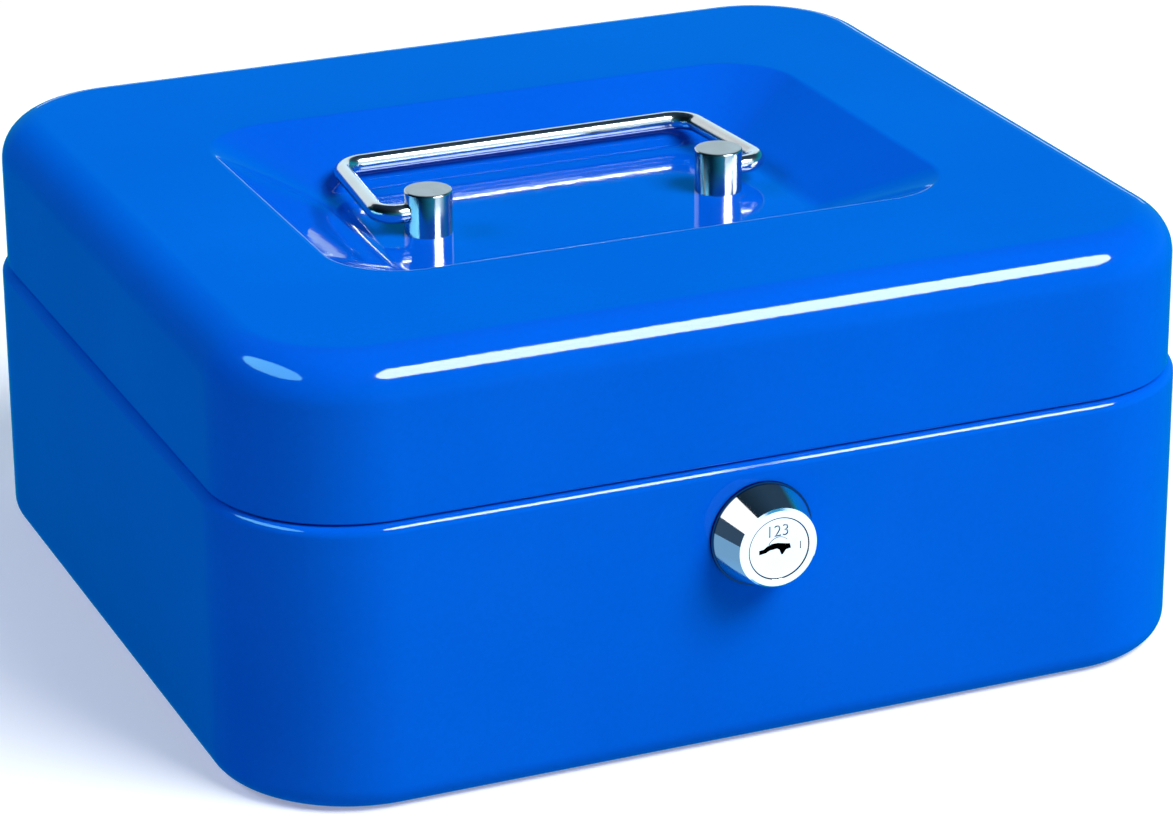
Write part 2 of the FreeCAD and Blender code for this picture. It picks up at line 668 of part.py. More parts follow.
def draw_bail_path(sketch):
    """Stub, bend, arm, bend, grip bar, and the same mirrored. The arms close in a little towards the bar."""
    front_half = size("bail_front_half")
    rear_half = worked(BAIL_REAR_HALF)
    reach = size("bail_reach")
    corners = [
        FreeCAD.Vector(-size("bail_stub_end"), 0, 0), FreeCAD.Vector(-front_half, 0, 0),
        FreeCAD.Vector(-rear_half, reach, 0), FreeCAD.Vector(rear_half, reach, 0),
        FreeCAD.Vector(front_half, 0, 0), FreeCAD.Vector(size("bail_stub_end"), 0, 0)]
    bends = [size("bail_front_bend"), size("bail_rear_bend"), size("bail_rear_bend"), size("bail_front_bend")]
    start = corners[0]
    for index, radius in enumerate(bends, start=1):
        before = (corners[index - 1] - corners[index]).normalize()
        after = (corners[index + 1] - corners[index]).normalize()
        half_angle = before.getAngle(after) / 2
        setback = radius / math.tan(half_angle)
        first = corners[index] + before * setback
        last = corners[index] + after * setback
        middle_way = (before + after).normalize()
        centre = corners[index] + middle_way * (radius / math.sin(half_angle))
        middle = centre - middle_way * radius
        sketch.addGeometry(Part.LineSegment(start, first), False)
        sketch.addGeometry(Part.Arc(first, middle, last), False)
        start = last
    sketch.addGeometry(Part.LineSegment(start, corners[-1]), False)
    for line in (0, 2, 4, 6):
        # Bends to the right are stored the other way round, so each end is found by its place.
        for joint_line, joint_point in ((line, 2), (line + 2, 1)):
            point = sketch.getPoint(joint_line, joint_point)
            arc = line + 1
            near_start = sketch.getPoint(arc, 1).distanceToPoint(point) < 1e-6
            arc_end = 1 if near_start else 2
            sketch.addConstraint(Sketcher.Constraint("Tangent", joint_line, joint_point, arc, arc_end))
    sketch.addConstraint(Sketcher.Constraint("PointOnObject", 0, 1, -1))
    sketch.addConstraint(Sketcher.Constraint("Horizontal", 0))
    sketch.addConstraint(Sketcher.Constraint("Symmetric", 0, 1, 8, 2, -2))
    sketch.addConstraint(Sketcher.Constraint("Symmetric", 1, 3, 7, 3, -2))
    sketch.addConstraint(Sketcher.Constraint("Symmetric", 4, 1, 4, 2, -2))
    sketch.addConstraint(Sketcher.Constraint("Equal", 1, 7))
    sketch.addConstraint(Sketcher.Constraint("Equal", 3, 5))
    dimension(sketch, "DistanceX", "stub", "2 * Sizes.bail_stub_end", 0, 1, 8, 2)
    dimension(sketch, "DistanceY", "reach", "Sizes.bail_reach", -1, 1, 4, 1)
    dimension(sketch, "Radius", "front_bend", "Sizes.bail_front_bend", 1)
    dimension(sketch, "Radius", "rear_bend", "Sizes.bail_rear_bend", 3)
    bend_centre = "Sizes.bail_front_half - Sizes.bail_front_bend / tan((90 - Sizes.bail_lean_angle) / 2)"
    dimension(sketch, "DistanceX", "bend_centres", f"2 * ({bend_centre})", 1, 3, 7, 3)
    bar_half = f"{BAIL_REAR_HALF} - Sizes.bail_rear_bend / tan((90 + Sizes.bail_lean_angle) / 2)"
    dimension(sketch, "DistanceX", "grip_bar", f"2 * ({bar_half})", 4, 1, 4, 2)
    return sketch


def make_bail():
    body = new_body("Bail")
    path = draw_bail_path(new_sketch(body, "XY_Plane"))
    section = draw_circle(new_sketch(body, "YZ_Plane", lift="-Sizes.bail_stub_end"), "Sizes.wire_radius")
    doc.recompute()
    wire = feature(body, "AdditivePipe", section)
    wire.Spine = (path, [f"Edge{index + 1}" for index in range(9)])
    path.Visibility = False
    doc.recompute()
    place(body, "0", "Sizes.post_shift", f"{WELL_FLOOR} + Sizes.pivot_rise",
          FreeCAD.Rotation(ALONG_X, size("bail_rest_angle")))
    return node(body, "handle_bail")


def make_handle():
    for name, side in (("left", -1), ("right", 1)):
        make_post(f"handle_post_{name}", side)
        make_post_screw(f"handle_screw_{name}", side)
        make_post_washer(f"handle_washer_{name}", side)
    make_bail()


# Lock: a cast housing with a conical bezel, a plug with a keyway, wafers and their springs, nut and cam.

def make_lock_housing():
    body = new_body("LockHousing")
    bore = "Sizes.plug_radius + Sizes.plug_play"
    recess = "Sizes.plug_head_radius + Sizes.plug_play"
    recess_floor = "Sizes.bezel_face_height - Sizes.plug_sunk - Sizes.plug_head_height - Sizes.plug_play"
    revolve(body, draw_outline(new_sketch(body, "XZ_Plane"), [
        (bore, "-Sizes.barrel_length"), ("Sizes.barrel_radius", "-Sizes.barrel_length"),
        ("Sizes.barrel_radius", "0"), ("Sizes.bezel_flange_radius", "0"),
        ("Sizes.bezel_flange_radius", "Sizes.bezel_flange_height"),
        ("Sizes.bezel_foot_radius", "Sizes.bezel_flange_height"),
        ("Sizes.bezel_edge_radius", "Sizes.bezel_edge_height"),
        ("Sizes.bezel_face_radius", "Sizes.bezel_face_height"),
        (recess, "Sizes.bezel_face_height"), (recess, recess_floor), (bore, recess_floor)]))
    for side in (-1, 1):
        flat = new_sketch(body, "XY_Plane", shift_y=f"{side} * Sizes.barrel_flats")
        pocket(body, draw_rectangle(flat, "4 * Sizes.barrel_radius", "Sizes.barrel_flats"))
    chambers = new_sketch(body, "XY_Plane", lift="Sizes.chamber_top")
    pocket(body, draw_rectangle(chambers, "Sizes.chamber_reach", "Sizes.chamber_width"))
    return place_on_lock(body, "lock_housing")


def draw_keyway(sketch):
    return draw_outline(sketch, [(f"{across} + Sizes.keyway_side", str(up)) for across, up in KEYWAY])


def make_lock_plug():
    body = new_body("LockPlug")
    head_top = "(Sizes.bezel_face_height - Sizes.plug_sunk)"
    head_low = f"({head_top} - Sizes.plug_head_height)"
    tail_top = "(-Sizes.barrel_length - Sizes.plug_tail_gap)"
    revolve(body, draw_outline(new_sketch(body, "XZ_Plane"), [
        ("0", tail_top), ("Sizes.plug_radius", tail_top), ("Sizes.plug_radius", head_low),
        ("Sizes.plug_head_radius", head_low), ("Sizes.plug_head_radius", head_top), ("0", head_top)]))
    tail = new_sketch(body, "XY_Plane", lift=tail_top)
    square = draw_rectangle(tail, "Sizes.plug_tail_side", "Sizes.plug_tail_side")
    pad(body, square, "Sizes.plug_tail_length", back=True)
    keyway = draw_keyway(new_sketch(body, "XY_Plane", lift=head_top))
    pocket(body, keyway, "Sizes.keyway_deep")
    tapped = new_sketch(body, "XY_Plane", lift=f"{tail_top} - Sizes.plug_tail_length")
    thread = draw_circle(tapped, "Sizes.screw_radius + Sizes.screw_thread_play")
    pocket(body, thread, "Sizes.cam_screw_grip - Sizes.cam_thickness + Sizes.plug_tail_length", back=True)
    slot_edge = "(Sizes.wafer_width / 2 + Sizes.wafer_play)"
    slot = draw_outline(new_sketch(body, "XY_Plane", lift="Sizes.wafer_first + Sizes.wafer_slot / 2"), [
        ("-Sizes.plug_head_radius", f"-{slot_edge}"), ("Sizes.plug_head_radius", f"-{slot_edge}"),
        ("Sizes.plug_head_radius", slot_edge), ("Sizes.spring_pocket_end", slot_edge),
        ("Sizes.spring_pocket_end", "Sizes.spring_pocket_top"),
        ("Sizes.spring_pocket_start", "Sizes.spring_pocket_top"), ("Sizes.spring_pocket_start", slot_edge),
        ("-Sizes.plug_head_radius", slot_edge)])
    first_slot = pocket(body, slot, "Sizes.wafer_slot")
    row = body.newObject("PartDesign::LinearPattern", "LinearPattern")
    row.Originals = [first_slot]
    row.Direction = (slot, ["N_Axis"])
    row.Reversed = True
    row.setExpression("Length", f"{len(WAFER_CUTS) - 1} * Sizes.wafer_pitch")
    row.Occurrences = len(WAFER_CUTS)
    body.Tip = row
    doc.recompute()
    return place_on_lock(body, "lock_plug")


def make_wafers():
    """Wafers as the right key sets them, their ends level with the plug, so that the plug can turn."""
    for index, key_cut in enumerate(WAFER_CUTS):
        low = f"(Sizes.wafer_first - {index} * Sizes.wafer_pitch - Sizes.wafer_thickness / 2)"
        high = f"({low} + Sizes.wafer_thickness)"
        disc = rod("Sizes.wafer_radius", "Sizes.wafer_thickness", ("0", "0", low))
        half = "Sizes.wafer_width / 2"
        strip = block(("-Sizes.wafer_radius", f"-{half}", low), ("Sizes.wafer_radius", half, high))
        ear = block(
            ("Sizes.wafer_ear_start", f"{half} - Sizes.wafer_ear_root", low),
            ("Sizes.wafer_ear_end", "Sizes.wafer_ear_top", high))
        plate = fuse(common(disc, strip), ear)
        middle = f"(Sizes.keyway_side + {key_cut})"
        window = block(
            (f"{middle} - Sizes.wafer_window_long / 2",
             "-Sizes.wafer_window_high / 2 - Sizes.wafer_window_drop", f"{low} - 1"),
            (f"{middle} + Sizes.wafer_window_long / 2",
             "Sizes.wafer_window_high / 2 - Sizes.wafer_window_drop", f"{high} + 1"))
        place_on_lock(cut(plate, window), f"lock_wafer_{index + 1}")


def make_wafer_springs():
    """One small coil beside each wafer, between the plug and the wafer's ear."""
    coils = []
    length = size("spring_length")
    for index in range(len(WAFER_CUTS)):
        helix = Part.makeHelix(length / SPRING_TURNS, length, size("spring_coil_radius"))
        wire = Part.Wire(helix.Edges)
        start = FreeCAD.Vector(size("spring_coil_radius"), 0, 0)
        section = Part.Wire(Part.makeCircle(size("spring_wire_radius"), start, ALONG_Y))
        coil = wire.makePipeShell([section], True, True)
        coil.rotate(ORIGIN, ALONG_Y, 90)
        centre_z = size("wafer_first") - index * size("wafer_pitch")
        coil.translate(FreeCAD.Vector(size("spring_start"), size("spring_side"), centre_z))
        coils.append(coil)
    springs = doc.addObject("Part::Feature", "WaferSprings")
    springs.Shape = Part.makeCompound(coils)
    return place_on_lock(springs, "lock_wafer_springs")


def make_lock_fixing():
    low = "(-Sizes.sheet - Sizes.lock_washer_thickness)"
    washer = new_body("LockWasher")
    pad(washer, draw_circle(new_sketch(washer, "XY_Plane", lift=low), "Sizes.lock_washer_radius"),
        "Sizes.lock_washer_thickness")
    hole = draw_double_flat(
        new_sketch(washer, "XY_Plane", lift=low), "Sizes.barrel_radius + Sizes.lock_hole_play",
        "Sizes.barrel_flats + 2 * Sizes.lock_hole_play")
    pocket(washer, hole, back=True)
    place_on_lock(washer, "lock_washer")
    nut_low = f"({low} - Sizes.lock_nut_height)"
    hexagon = solid(
        "Prism", ("0", "0", nut_low), Circumradius="Sizes.lock_nut_flats / sqrt(3)",
        Height="Sizes.lock_nut_height")
    bore_radius = "Sizes.barrel_radius + Sizes.nut_thread_play"
    bore = rod(bore_radius, "Sizes.lock_nut_height + 2", ("0", "0", f"{nut_low} - 1"))
    place_on_lock(cut(hexagon, bore), "lock_nut")


def make_cam():
    """The cam points up when the lock is open, and turns to the right to lock."""
    top = "(-Sizes.barrel_length - Sizes.plug_tail_gap)"
    low = f"({top} - Sizes.cam_thickness)"
    disc = rod("Sizes.cam_length", "Sizes.cam_thickness", ("0", "0", low))
    arm = block(("-Sizes.cam_half_width", "0", low), ("Sizes.cam_half_width", "Sizes.cam_length", top))
    hub = rod("Sizes.cam_hub_radius", "Sizes.cam_thickness", ("0", "0", low))
    half = "(Sizes.plug_tail_side / 2 + Sizes.cam_hole_play)"
    hole = block((f"-{half}", f"-{half}", f"{low} - 1"), (half, half, f"{top} + 1"))
    place_on_lock(cut(fuse(common(disc, arm), hub), hole), "lock_cam")
    washer_low = f"({low} - Sizes.cam_washer_thickness)"
    washer = rod("Sizes.cam_washer_radius", "Sizes.cam_washer_thickness", ("0", "0", washer_low))
    washer_hole = rod(
        "Sizes.screw_radius + Sizes.screw_hole_play", "Sizes.cam_washer_thickness + 2",
        ("0", "0", f"{washer_low} - 1"))
    place_on_lock(cut(washer, washer_hole), "cam_washer")
    screw = new_body("CamScrew")
    head_low = f"({washer_low} - Sizes.cam_screw_head_height)"
    tip = f"({washer_low} + Sizes.cam_washer_thickness + Sizes.cam_screw_grip)"
    revolve(screw, draw_outline(new_sketch(screw, "XZ_Plane"), [
        ("0", head_low), ("Sizes.cam_screw_head_radius - Sizes.screw_head_edge", head_low),
        ("Sizes.cam_screw_head_radius", f"{head_low} + Sizes.screw_head_edge"),
        ("Sizes.cam_screw_head_radius", washer_low), ("Sizes.screw_radius", washer_low),
        ("Sizes.screw_radius", f"{tip} - Sizes.screw_point"),
        ("Sizes.screw_radius - Sizes.screw_point", tip), ("0", tip)]))
    slot = new_sketch(screw, "XY_Plane", lift=head_low)
    pocket(screw, draw_rectangle(slot, "Sizes.cam_screw_head_radius * 3", "Sizes.screw_slot_width"),
           "Sizes.screw_slot_deep", back=True)
    place_on_lock(screw, "cam_screw")


# Strike: a bracket welded inside the lid's front. The cam turns into the window in its tongue.

def make_strike():
    wall = "(-Sizes.lid_depth / 2 + Sizes.sheet)"
    tongue_front = f"({wall} + Sizes.strike_front_gap)"
    tongue_rear = f"({tongue_front} + Sizes.strike_tongue_reach)"
    far_side = "(Sizes.strike_side + Sizes.strike_thickness)"
    flange = block(
        ("Sizes.strike_side", wall, "Sizes.strike_flange_low"),
        ("Sizes.strike_side + Sizes.strike_flange_width", f"{wall} + Sizes.strike_thickness",
         "Sizes.strike_flange_high"))
    neck = block(
        ("Sizes.strike_side", wall, "Sizes.strike_flange_low"),
        (far_side, tongue_rear, "Sizes.strike_flange_high"))
    tongue = block(
        ("Sizes.strike_side", tongue_front, "Sizes.strike_tongue_low"),
        (far_side, tongue_rear, "Sizes.strike_flange_low + 1"))
    window_low = "(Sizes.strike_tongue_low + Sizes.strike_bar)"
    window_front = f"({tongue_front} + Sizes.strike_window_front)"
    window = block(
        ("Sizes.strike_side - 1", window_front, window_low),
        (f"{far_side} + 1", f"{window_front} + Sizes.strike_window_reach",
         f"{window_low} + Sizes.strike_window_high"))
    return node(cut(fuse(flange, neck, tongue), window), "lid_strike")


# Coin tray: moulded, hangs by its lip on the rim, with three cups behind and three in front.

def make_tray():
    body = new_body("CoinTray")
    inside_x = f"(Sizes.lid_width / 2 - {RIM_INSET} - Sizes.sheet)"
    front = f"(-(Sizes.lid_depth / 2 - {RIM_INSET} - Sizes.sheet))"
    rear = f"({HINGE_Y} - Sizes.knuckle_radius)"
    lip_top = f"({RIM_TOP} + Sizes.tray_rest_gap + Sizes.tray_lip_thickness)"
    half_x = f"({inside_x} - Sizes.tray_side_gap)"
    low_y = f"({front} + Sizes.tray_side_gap)"
    high_y = f"({rear} - Sizes.tray_lip - Sizes.tray_rear_gap)"
    middle = f"(({low_y} + {high_y}) / 2)"
    outer = new_sketch(body, "XY_Plane", lift=f"{lip_top} - Sizes.tray_deep", shift_y=middle)
    draw_rounded(outer, f"2 * {half_x}", f"{high_y} - {low_y}", "Sizes.tray_corner")
    pad(body, outer, "Sizes.tray_deep")
    lip = new_sketch(body, "XY_Plane", lift=f"{lip_top} - Sizes.tray_lip_thickness", shift_y=middle)
    draw_rounded(
        lip, f"2 * ({half_x} + Sizes.tray_lip)", f"{high_y} - {low_y} + 2 * Sizes.tray_lip",
        "Sizes.tray_corner + Sizes.tray_lip")
    pad(body, lip, "Sizes.tray_lip_thickness")
    grip = new_sketch(body, "XY_Plane", lift=lip_top, shift_y="Sizes.tray_row_split")
    draw_rounded(
        grip, "Sizes.tray_grip_width", "Sizes.tray_grip_thickness", "Sizes.tray_grip_thickness / 2 - 0.1")
    pad(body, grip, "Sizes.tray_grip_height")
    notch = new_sketch(body, "XY_Plane", lift=f"{lip_top} + 1")
    draw_outline(notch, [
        ("-Sizes.tray_notch_left", f"{front} - 10"), ("Sizes.tray_notch_right", f"{front} - 10"),
        ("Sizes.tray_notch_right", f"{front} + Sizes.tray_notch_deep"),
        ("-Sizes.tray_notch_left", f"{front} + Sizes.tray_notch_deep")])
    pocket(body, notch)
    wall = "Sizes.tray_wall"
    left = f"(-{half_x} + {wall})"
    right = f"({half_x} - {wall})"
    row_split = "Sizes.tray_row_split"
    cup_front = f"({low_y} + {wall})"
    cup_rear = f"({high_y} - {wall})"
    front_row = f"({row_split} - {wall} / 2)"
    rear_row = f"({row_split} + {wall} / 2)"
    third = f"(({right} - {left} - 2 * {wall}) / 3)"
    cups = [
        (left, f"(-Sizes.tray_notch_left - {wall})", cup_front, front_row),
        ("(-Sizes.tray_notch_left)", "Sizes.tray_notch_right",
         f"({front} + Sizes.tray_notch_deep + {wall})", front_row),
        (f"(Sizes.tray_notch_right + {wall})", right, cup_front, front_row)]
    for index in range(3):
        start = f"({left} + {index} * ({third} + {wall}))"
        cups.append((start, f"({start} + {third})", rear_row, cup_rear))
    floor_height = worked(f"{lip_top} - Sizes.tray_deep + {wall}")
    # The cup at each corner of the tray follows the tray's own corner: cup number, corner number.
    outer_corners = {0: 3, 2: 0, 3: 2, 5: 1}
    for index, (x_low, x_high, y_low, y_high) in enumerate(cups):
        cup = new_sketch(
            body, "XY_Plane", lift=lip_top, shift_x=f"({x_low} + {x_high}) / 2",
            shift_y=f"({y_low} + {y_high}) / 2")
        corners = ["Sizes.cup_corner"] * 4
        if index in outer_corners:
            corners[outer_corners[index]] = "Sizes.tray_corner - Sizes.tray_wall"
        draw_rounded(cup, f"{x_high} - {x_low}", f"{y_high} - {y_low}", corners)
        pocket(body, cup, f"Sizes.tray_deep - {wall}")
    fillet(body, body.Tip, "Sizes.cup_round", level(floor_height))
    return node(body, "coin_tray")


make_base_shell()
make_lid_shell()
make_hinge()
make_handle()
make_lock_housing()
make_lock_plug()
make_wafers()
make_wafer_springs()
make_lock_fixing()
make_cam()
make_strike()
make_tray()
doc.recompute()

failed = [item.Label for item in doc.Objects if "Invalid" in item.State or "Error" in item.State]
if failed:
    raise RuntimeError(f"failed objects: {failed}")
for item in nodes:
    if item.Shape.isNull() or not item.Shape.isValid():
        raise RuntimeError(f"{item.Label} has no valid shape")

os.makedirs("parts", exist_ok=True)
for item in nodes:
    item.Shape.exportStep(os.path.join("parts", f"{item.Label}.step"))
    box = item.Shape.BoundBox
    print(f"{item.Label}: {len(item.Shape.Solids)} solid(s), {item.Shape.Volume:.1f} mm3, "
          f"x {box.XMin:.2f} to {box.XMax:.2f}, y {box.YMin:.2f} to {box.YMax:.2f}, "
          f"z {box.ZMin:.2f} to {box.ZMax:.2f}")
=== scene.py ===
import math
from contextlib import contextmanager

import bmesh
import bpy
import numpy as np
from mathutils import Matrix, Vector


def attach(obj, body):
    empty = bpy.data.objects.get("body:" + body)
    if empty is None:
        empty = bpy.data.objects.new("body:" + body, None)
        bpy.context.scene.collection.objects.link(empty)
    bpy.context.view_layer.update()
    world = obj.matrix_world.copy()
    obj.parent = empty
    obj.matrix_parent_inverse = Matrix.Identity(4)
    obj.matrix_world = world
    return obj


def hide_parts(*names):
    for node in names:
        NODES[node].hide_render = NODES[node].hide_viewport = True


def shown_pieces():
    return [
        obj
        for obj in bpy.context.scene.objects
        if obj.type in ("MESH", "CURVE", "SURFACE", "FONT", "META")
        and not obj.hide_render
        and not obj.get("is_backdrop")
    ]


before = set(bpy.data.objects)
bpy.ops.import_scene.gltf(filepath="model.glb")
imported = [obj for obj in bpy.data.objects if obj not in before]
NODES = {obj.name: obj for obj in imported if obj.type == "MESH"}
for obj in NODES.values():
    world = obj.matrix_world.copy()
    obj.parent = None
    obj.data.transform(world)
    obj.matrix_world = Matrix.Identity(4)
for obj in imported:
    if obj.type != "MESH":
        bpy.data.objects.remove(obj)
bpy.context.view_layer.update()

METRES = 0.001

# ---------------------------------------------------------------- shape helpers (all in millimetres)

CORNER_STEPS = 32
# Places round a ring: how many points a quarter has, and the middle and the ends of the front.
QUARTER = CORNER_STEPS + 2
FRONT_MIDDLE = 4 * QUARTER - 1
FRONT_LEFT, FRONT_RIGHT = FRONT_MIDDLE - 1, 0
# The hinge's notch: half its length, the corner step that meets its end, and its lowest and highest edge.
NOTCH_HALF = 83.5
NOTCH_STEP = 24
NOTCH_LOW, NOTCH_HIGH = 55.9, 60.9
NOTCH_FIRST = QUARTER + NOTCH_STEP
NOTCH_LAST = 2 * QUARTER + CORNER_STEPS - NOTCH_STEP
# Between these heights lie the rims of the lower box and the lid.
RIM_LOW, RIM_HIGH = 55.8, 63.2
SHEET = 0.8
# Steps in a bend of the sheet: round its outer face, its inner face and its edge.
OUTER_STEPS, INNER_STEPS, EDGE_STEPS = 10, 8, 8
SAME_PLACE = 1e-6
# Points that agree to this many parts of a millimetre are one vertex.
KEY_DIGITS = 1e4


def new_object(name, data):
    made = bpy.data.objects.new(name, data)
    bpy.context.scene.collection.objects.link(made)
    return made


def ring(half_x, half_y, corner, height, centre_y=0.0):
    """Points and outward directions round a rounded rectangle.

    There are four arcs, and each is followed by the middle of a side.
    """
    points = []
    outward = []
    sides = (
        (half_x, centre_y, 0), (0, centre_y + half_y, 1), (-half_x, centre_y, 2), (0, centre_y - half_y, 3))
    # The rear corners' points move a little along the rims, so that one of them meets the end of the notch.
    notch_angle = 90 * NOTCH_STEP / CORNER_STEPS
    if RIM_LOW < height < RIM_HIGH:
        notch_angle = math.degrees(math.acos((NOTCH_HALF - half_x + corner) / corner))
    marks = (0, NOTCH_STEP, CORNER_STEPS), (0, notch_angle, 90)
    for index, start in enumerate((-90, 0, 90, 180)):
        x_sign = 1 if index < 2 else -1
        y_sign = 1 if index in (1, 2) else -1
        for step in range(CORNER_STEPS + 1):
            turned_by = 90 * step / CORNER_STEPS
            if index == 1:
                turned_by = np.interp(step, *marks)
            elif index == 2:
                turned_by = 90 - np.interp(CORNER_STEPS - step, *marks)
            angle = math.radians(start + turned_by)
            points.append((
                x_sign * (half_x - corner) + corner * math.cos(angle),
                centre_y + y_sign * (half_y - corner) + corner * math.sin(angle), height))
            outward.append((math.cos(angle), math.sin(angle), 0))
        side_x, side_y, quarter = sides[index]
        points.append((side_x, side_y, height))
        outward.append((math.cos(quarter * math.pi / 2), math.sin(quarter * math.pi / 2), 0))
    return np.array(points), np.array(outward)


class Skin:
    """Collects faces with a stated direction at each corner, so flat sheet stays flat beside its bends."""

    def __init__(self):
        self.points = []
        self.found = {}
        self.faces = []
        self.directions = []

    def vertex(self, point):
        key = tuple(int(round(c * KEY_DIGITS)) for c in point)
        if key not in self.found:
            self.found[key] = len(self.points)
            self.points.append([float(c) * METRES for c in point])
        return self.found[key]

    def face(self, points, directions):
        corners = []
        for point, direction in zip(points, directions):
            index = self.vertex(point)
            if index not in [c[0] for c in corners]:
                corners.append((index, direction))
        if len(corners) < 3:
            return
        around = np.array([self.points[c[0]] for c in corners])
        area = np.cross(around, np.roll(around, -1, axis=0)).sum(axis=0)
        if area @ np.sum([c[1] for c in corners], axis=0) < 0:
            corners.reverse()
        self.faces.append([c[0] for c in corners])
        self.directions.extend(tuple(c[1]) for c in corners)

    def band(self, low, high, low_directions, high_directions, skipped=()):
        count = len(low)
        for j in range(count):
            if j not in skipped:
                k = (j + 1) % count
                self.face(
                    (low[j], low[k], high[k], high[j]),
                    (low_directions[j], low_directions[k], high_directions[k], high_directions[j]))

    def piece(self, name):
        mesh = bpy.data.meshes.new(name)
        mesh.from_pydata(self.points, [], self.faces)
        mesh.shade_smooth()
        directions = np.array(self.directions, float)
        directions /= np.linalg.norm(directions, axis=1)[:, None]
        mesh.normals_split_custom_set(directions.tolist())
        return new_object(name, mesh)


class Section:
    """A section through bent sheet.

    Each row holds a distance out from the outline, a height, and the way it faces before and after that
    point.
    """

    def __init__(self, out, height):
        self.rows = [[out, height, None, None]]

    def line(self, out, height):
        last = self.rows[-1]
        facing = math.atan2(last[0] - out, height - last[1])
        last[3] = facing
        self.rows.append([out, height, facing, None])

    def arc(self, out, height, radius, first, last, steps, hollow=False):
        turn = math.pi if hollow else 0
        self.rows[-1][3] = math.radians(first) + turn
        for step in range(1, steps + 1):
            angle = math.radians(first + (last - first) * step / steps)
            facing = angle + turn
            self.rows.append([
                out + radius * math.cos(angle), height + radius * math.sin(angle), facing, facing])

    def find(self, out, height):
        for index, row in enumerate(self.rows):
            if abs(row[0] - out) < SAME_PLACE and abs(row[1] - height) < SAME_PLACE:
                return index
        raise ValueError(f"no row at {out}, {height}")

    def wrap(self, skin, outline, cut_rows=(0, 0), cut_steps=(), hole_rows=(), hole_steps=()):
        """Carries the section round an outline, leaving out the faces in the given cuts."""
        rings = [ring(*(size + out for size in outline), height) for out, height, _, _ in self.rows]

        def facing(i, which):
            angle = self.rows[i][which]
            return rings[i][1] * math.cos(angle) + np.array((0, 0, 1)) * math.sin(angle)

        for i in range(len(rings) - 1):
            skipped = set(cut_steps) if cut_rows[0] <= i < cut_rows[1] else set()
            if i in hole_rows:
                skipped |= set(hole_steps)
            skin.band(rings[i][0], rings[i + 1][0], facing(i, 3), facing(i + 1, 2), skipped)
        return [r[0] for r in rings]


def circle_points(radius, steps, centre=(0.0, 0.0)):
    return [(centre[0] + radius * math.cos(2 * math.pi * i / steps),
             centre[1] + radius * math.sin(2 * math.pi * i / steps)) for i in range(steps)]


def close_notch(skin, rings, first_row, last_row, facing_up):
    """The cut edge of the sheet along the notch, and at its two ends."""
    up = (0, 0, 1 if facing_up else -1)
    for j in range(NOTCH_FIRST, NOTCH_LAST):
        corners = (rings[first_row][j], rings[first_row][j + 1], rings[last_row][j + 1], rings[last_row][j])
        skin.face(corners, [up] * 4)
    for j, side in ((NOTCH_FIRST, -1), (NOTCH_LAST, 1)):
        corners = [rings[i][j] for i in range(first_row, last_row + 1)]
        skin.face(corners, [(side, 0, 0)] * len(corners))


# ---------------------------------------------------------------- lower box

# Half width, half depth and corner radius at the outer wall.
BASE_OUTLINE = 101.2, 93.2, 28.7
WALL_Y = -BASE_OUTLINE[1]
# The ring that the box stands on, and the slope up to the raised panel inside it.
FOOT_RING, FOOT_RADIUS = 16.0, 5.0
PANEL_SLOPE, PANEL_RISE = 3.0, 1.2
# How far the slope's inner bend stands back from the outer one, for the thickness of the sheet.
PANEL_BEND = 0.154
SHOULDER_LOW, SHOULDER_RADIUS = 56.1, 2.0
RIM_IN, RIM_BEND = 2.4, 62.7
LOCK_HEIGHT = 43.8
LOCK_HOLE_RADIUS, LOCK_HOLE_FLAT = 8.05, 7.05
LOCK_HOLE_STEPS = 64


def base_section():
    """Up the outside from the panel under the floor, over the rim, and down the inside to the panel's top."""
    shoulder_top = SHOULDER_LOW + SHOULDER_RADIUS
    section = Section(-FOOT_RING - PANEL_SLOPE, PANEL_RISE)
    section.line(-FOOT_RING, 0.0)
    section.line(-FOOT_RADIUS, 0.0)
    section.arc(-FOOT_RADIUS, FOOT_RADIUS, FOOT_RADIUS, -90, 0, OUTER_STEPS)
    section.line(0.0, NOTCH_LOW)
    section.line(0.0, SHOULDER_LOW)
    section.arc(-SHOULDER_RADIUS, SHOULDER_LOW, SHOULDER_RADIUS, 0, 90, OUTER_STEPS)
    section.line(-RIM_IN, shoulder_top)
    section.line(-RIM_IN, RIM_BEND)
    section.arc(-RIM_IN - SHEET / 2, RIM_BEND, SHEET / 2, 0, 180, EDGE_STEPS)
    section.line(-RIM_IN - SHEET, shoulder_top - SHEET)
    section.line(-SHOULDER_RADIUS, shoulder_top - SHEET)
    section.arc(-SHOULDER_RADIUS, SHOULDER_LOW, SHOULDER_RADIUS - SHEET, 90, 0, INNER_STEPS, hollow=True)
    section.line(-SHEET, NOTCH_LOW)
    section.line(-SHEET, FOOT_RADIUS)
    section.arc(-FOOT_RADIUS, FOOT_RADIUS, FOOT_RADIUS - SHEET, 0, -90, INNER_STEPS, hollow=True)
    section.line(PANEL_BEND - FOOT_RING, SHEET)
    section.line(PANEL_BEND - FOOT_RING - PANEL_SLOPE, PANEL_RISE + SHEET)
    section.rows[-1][3] = math.pi / 2
    return section


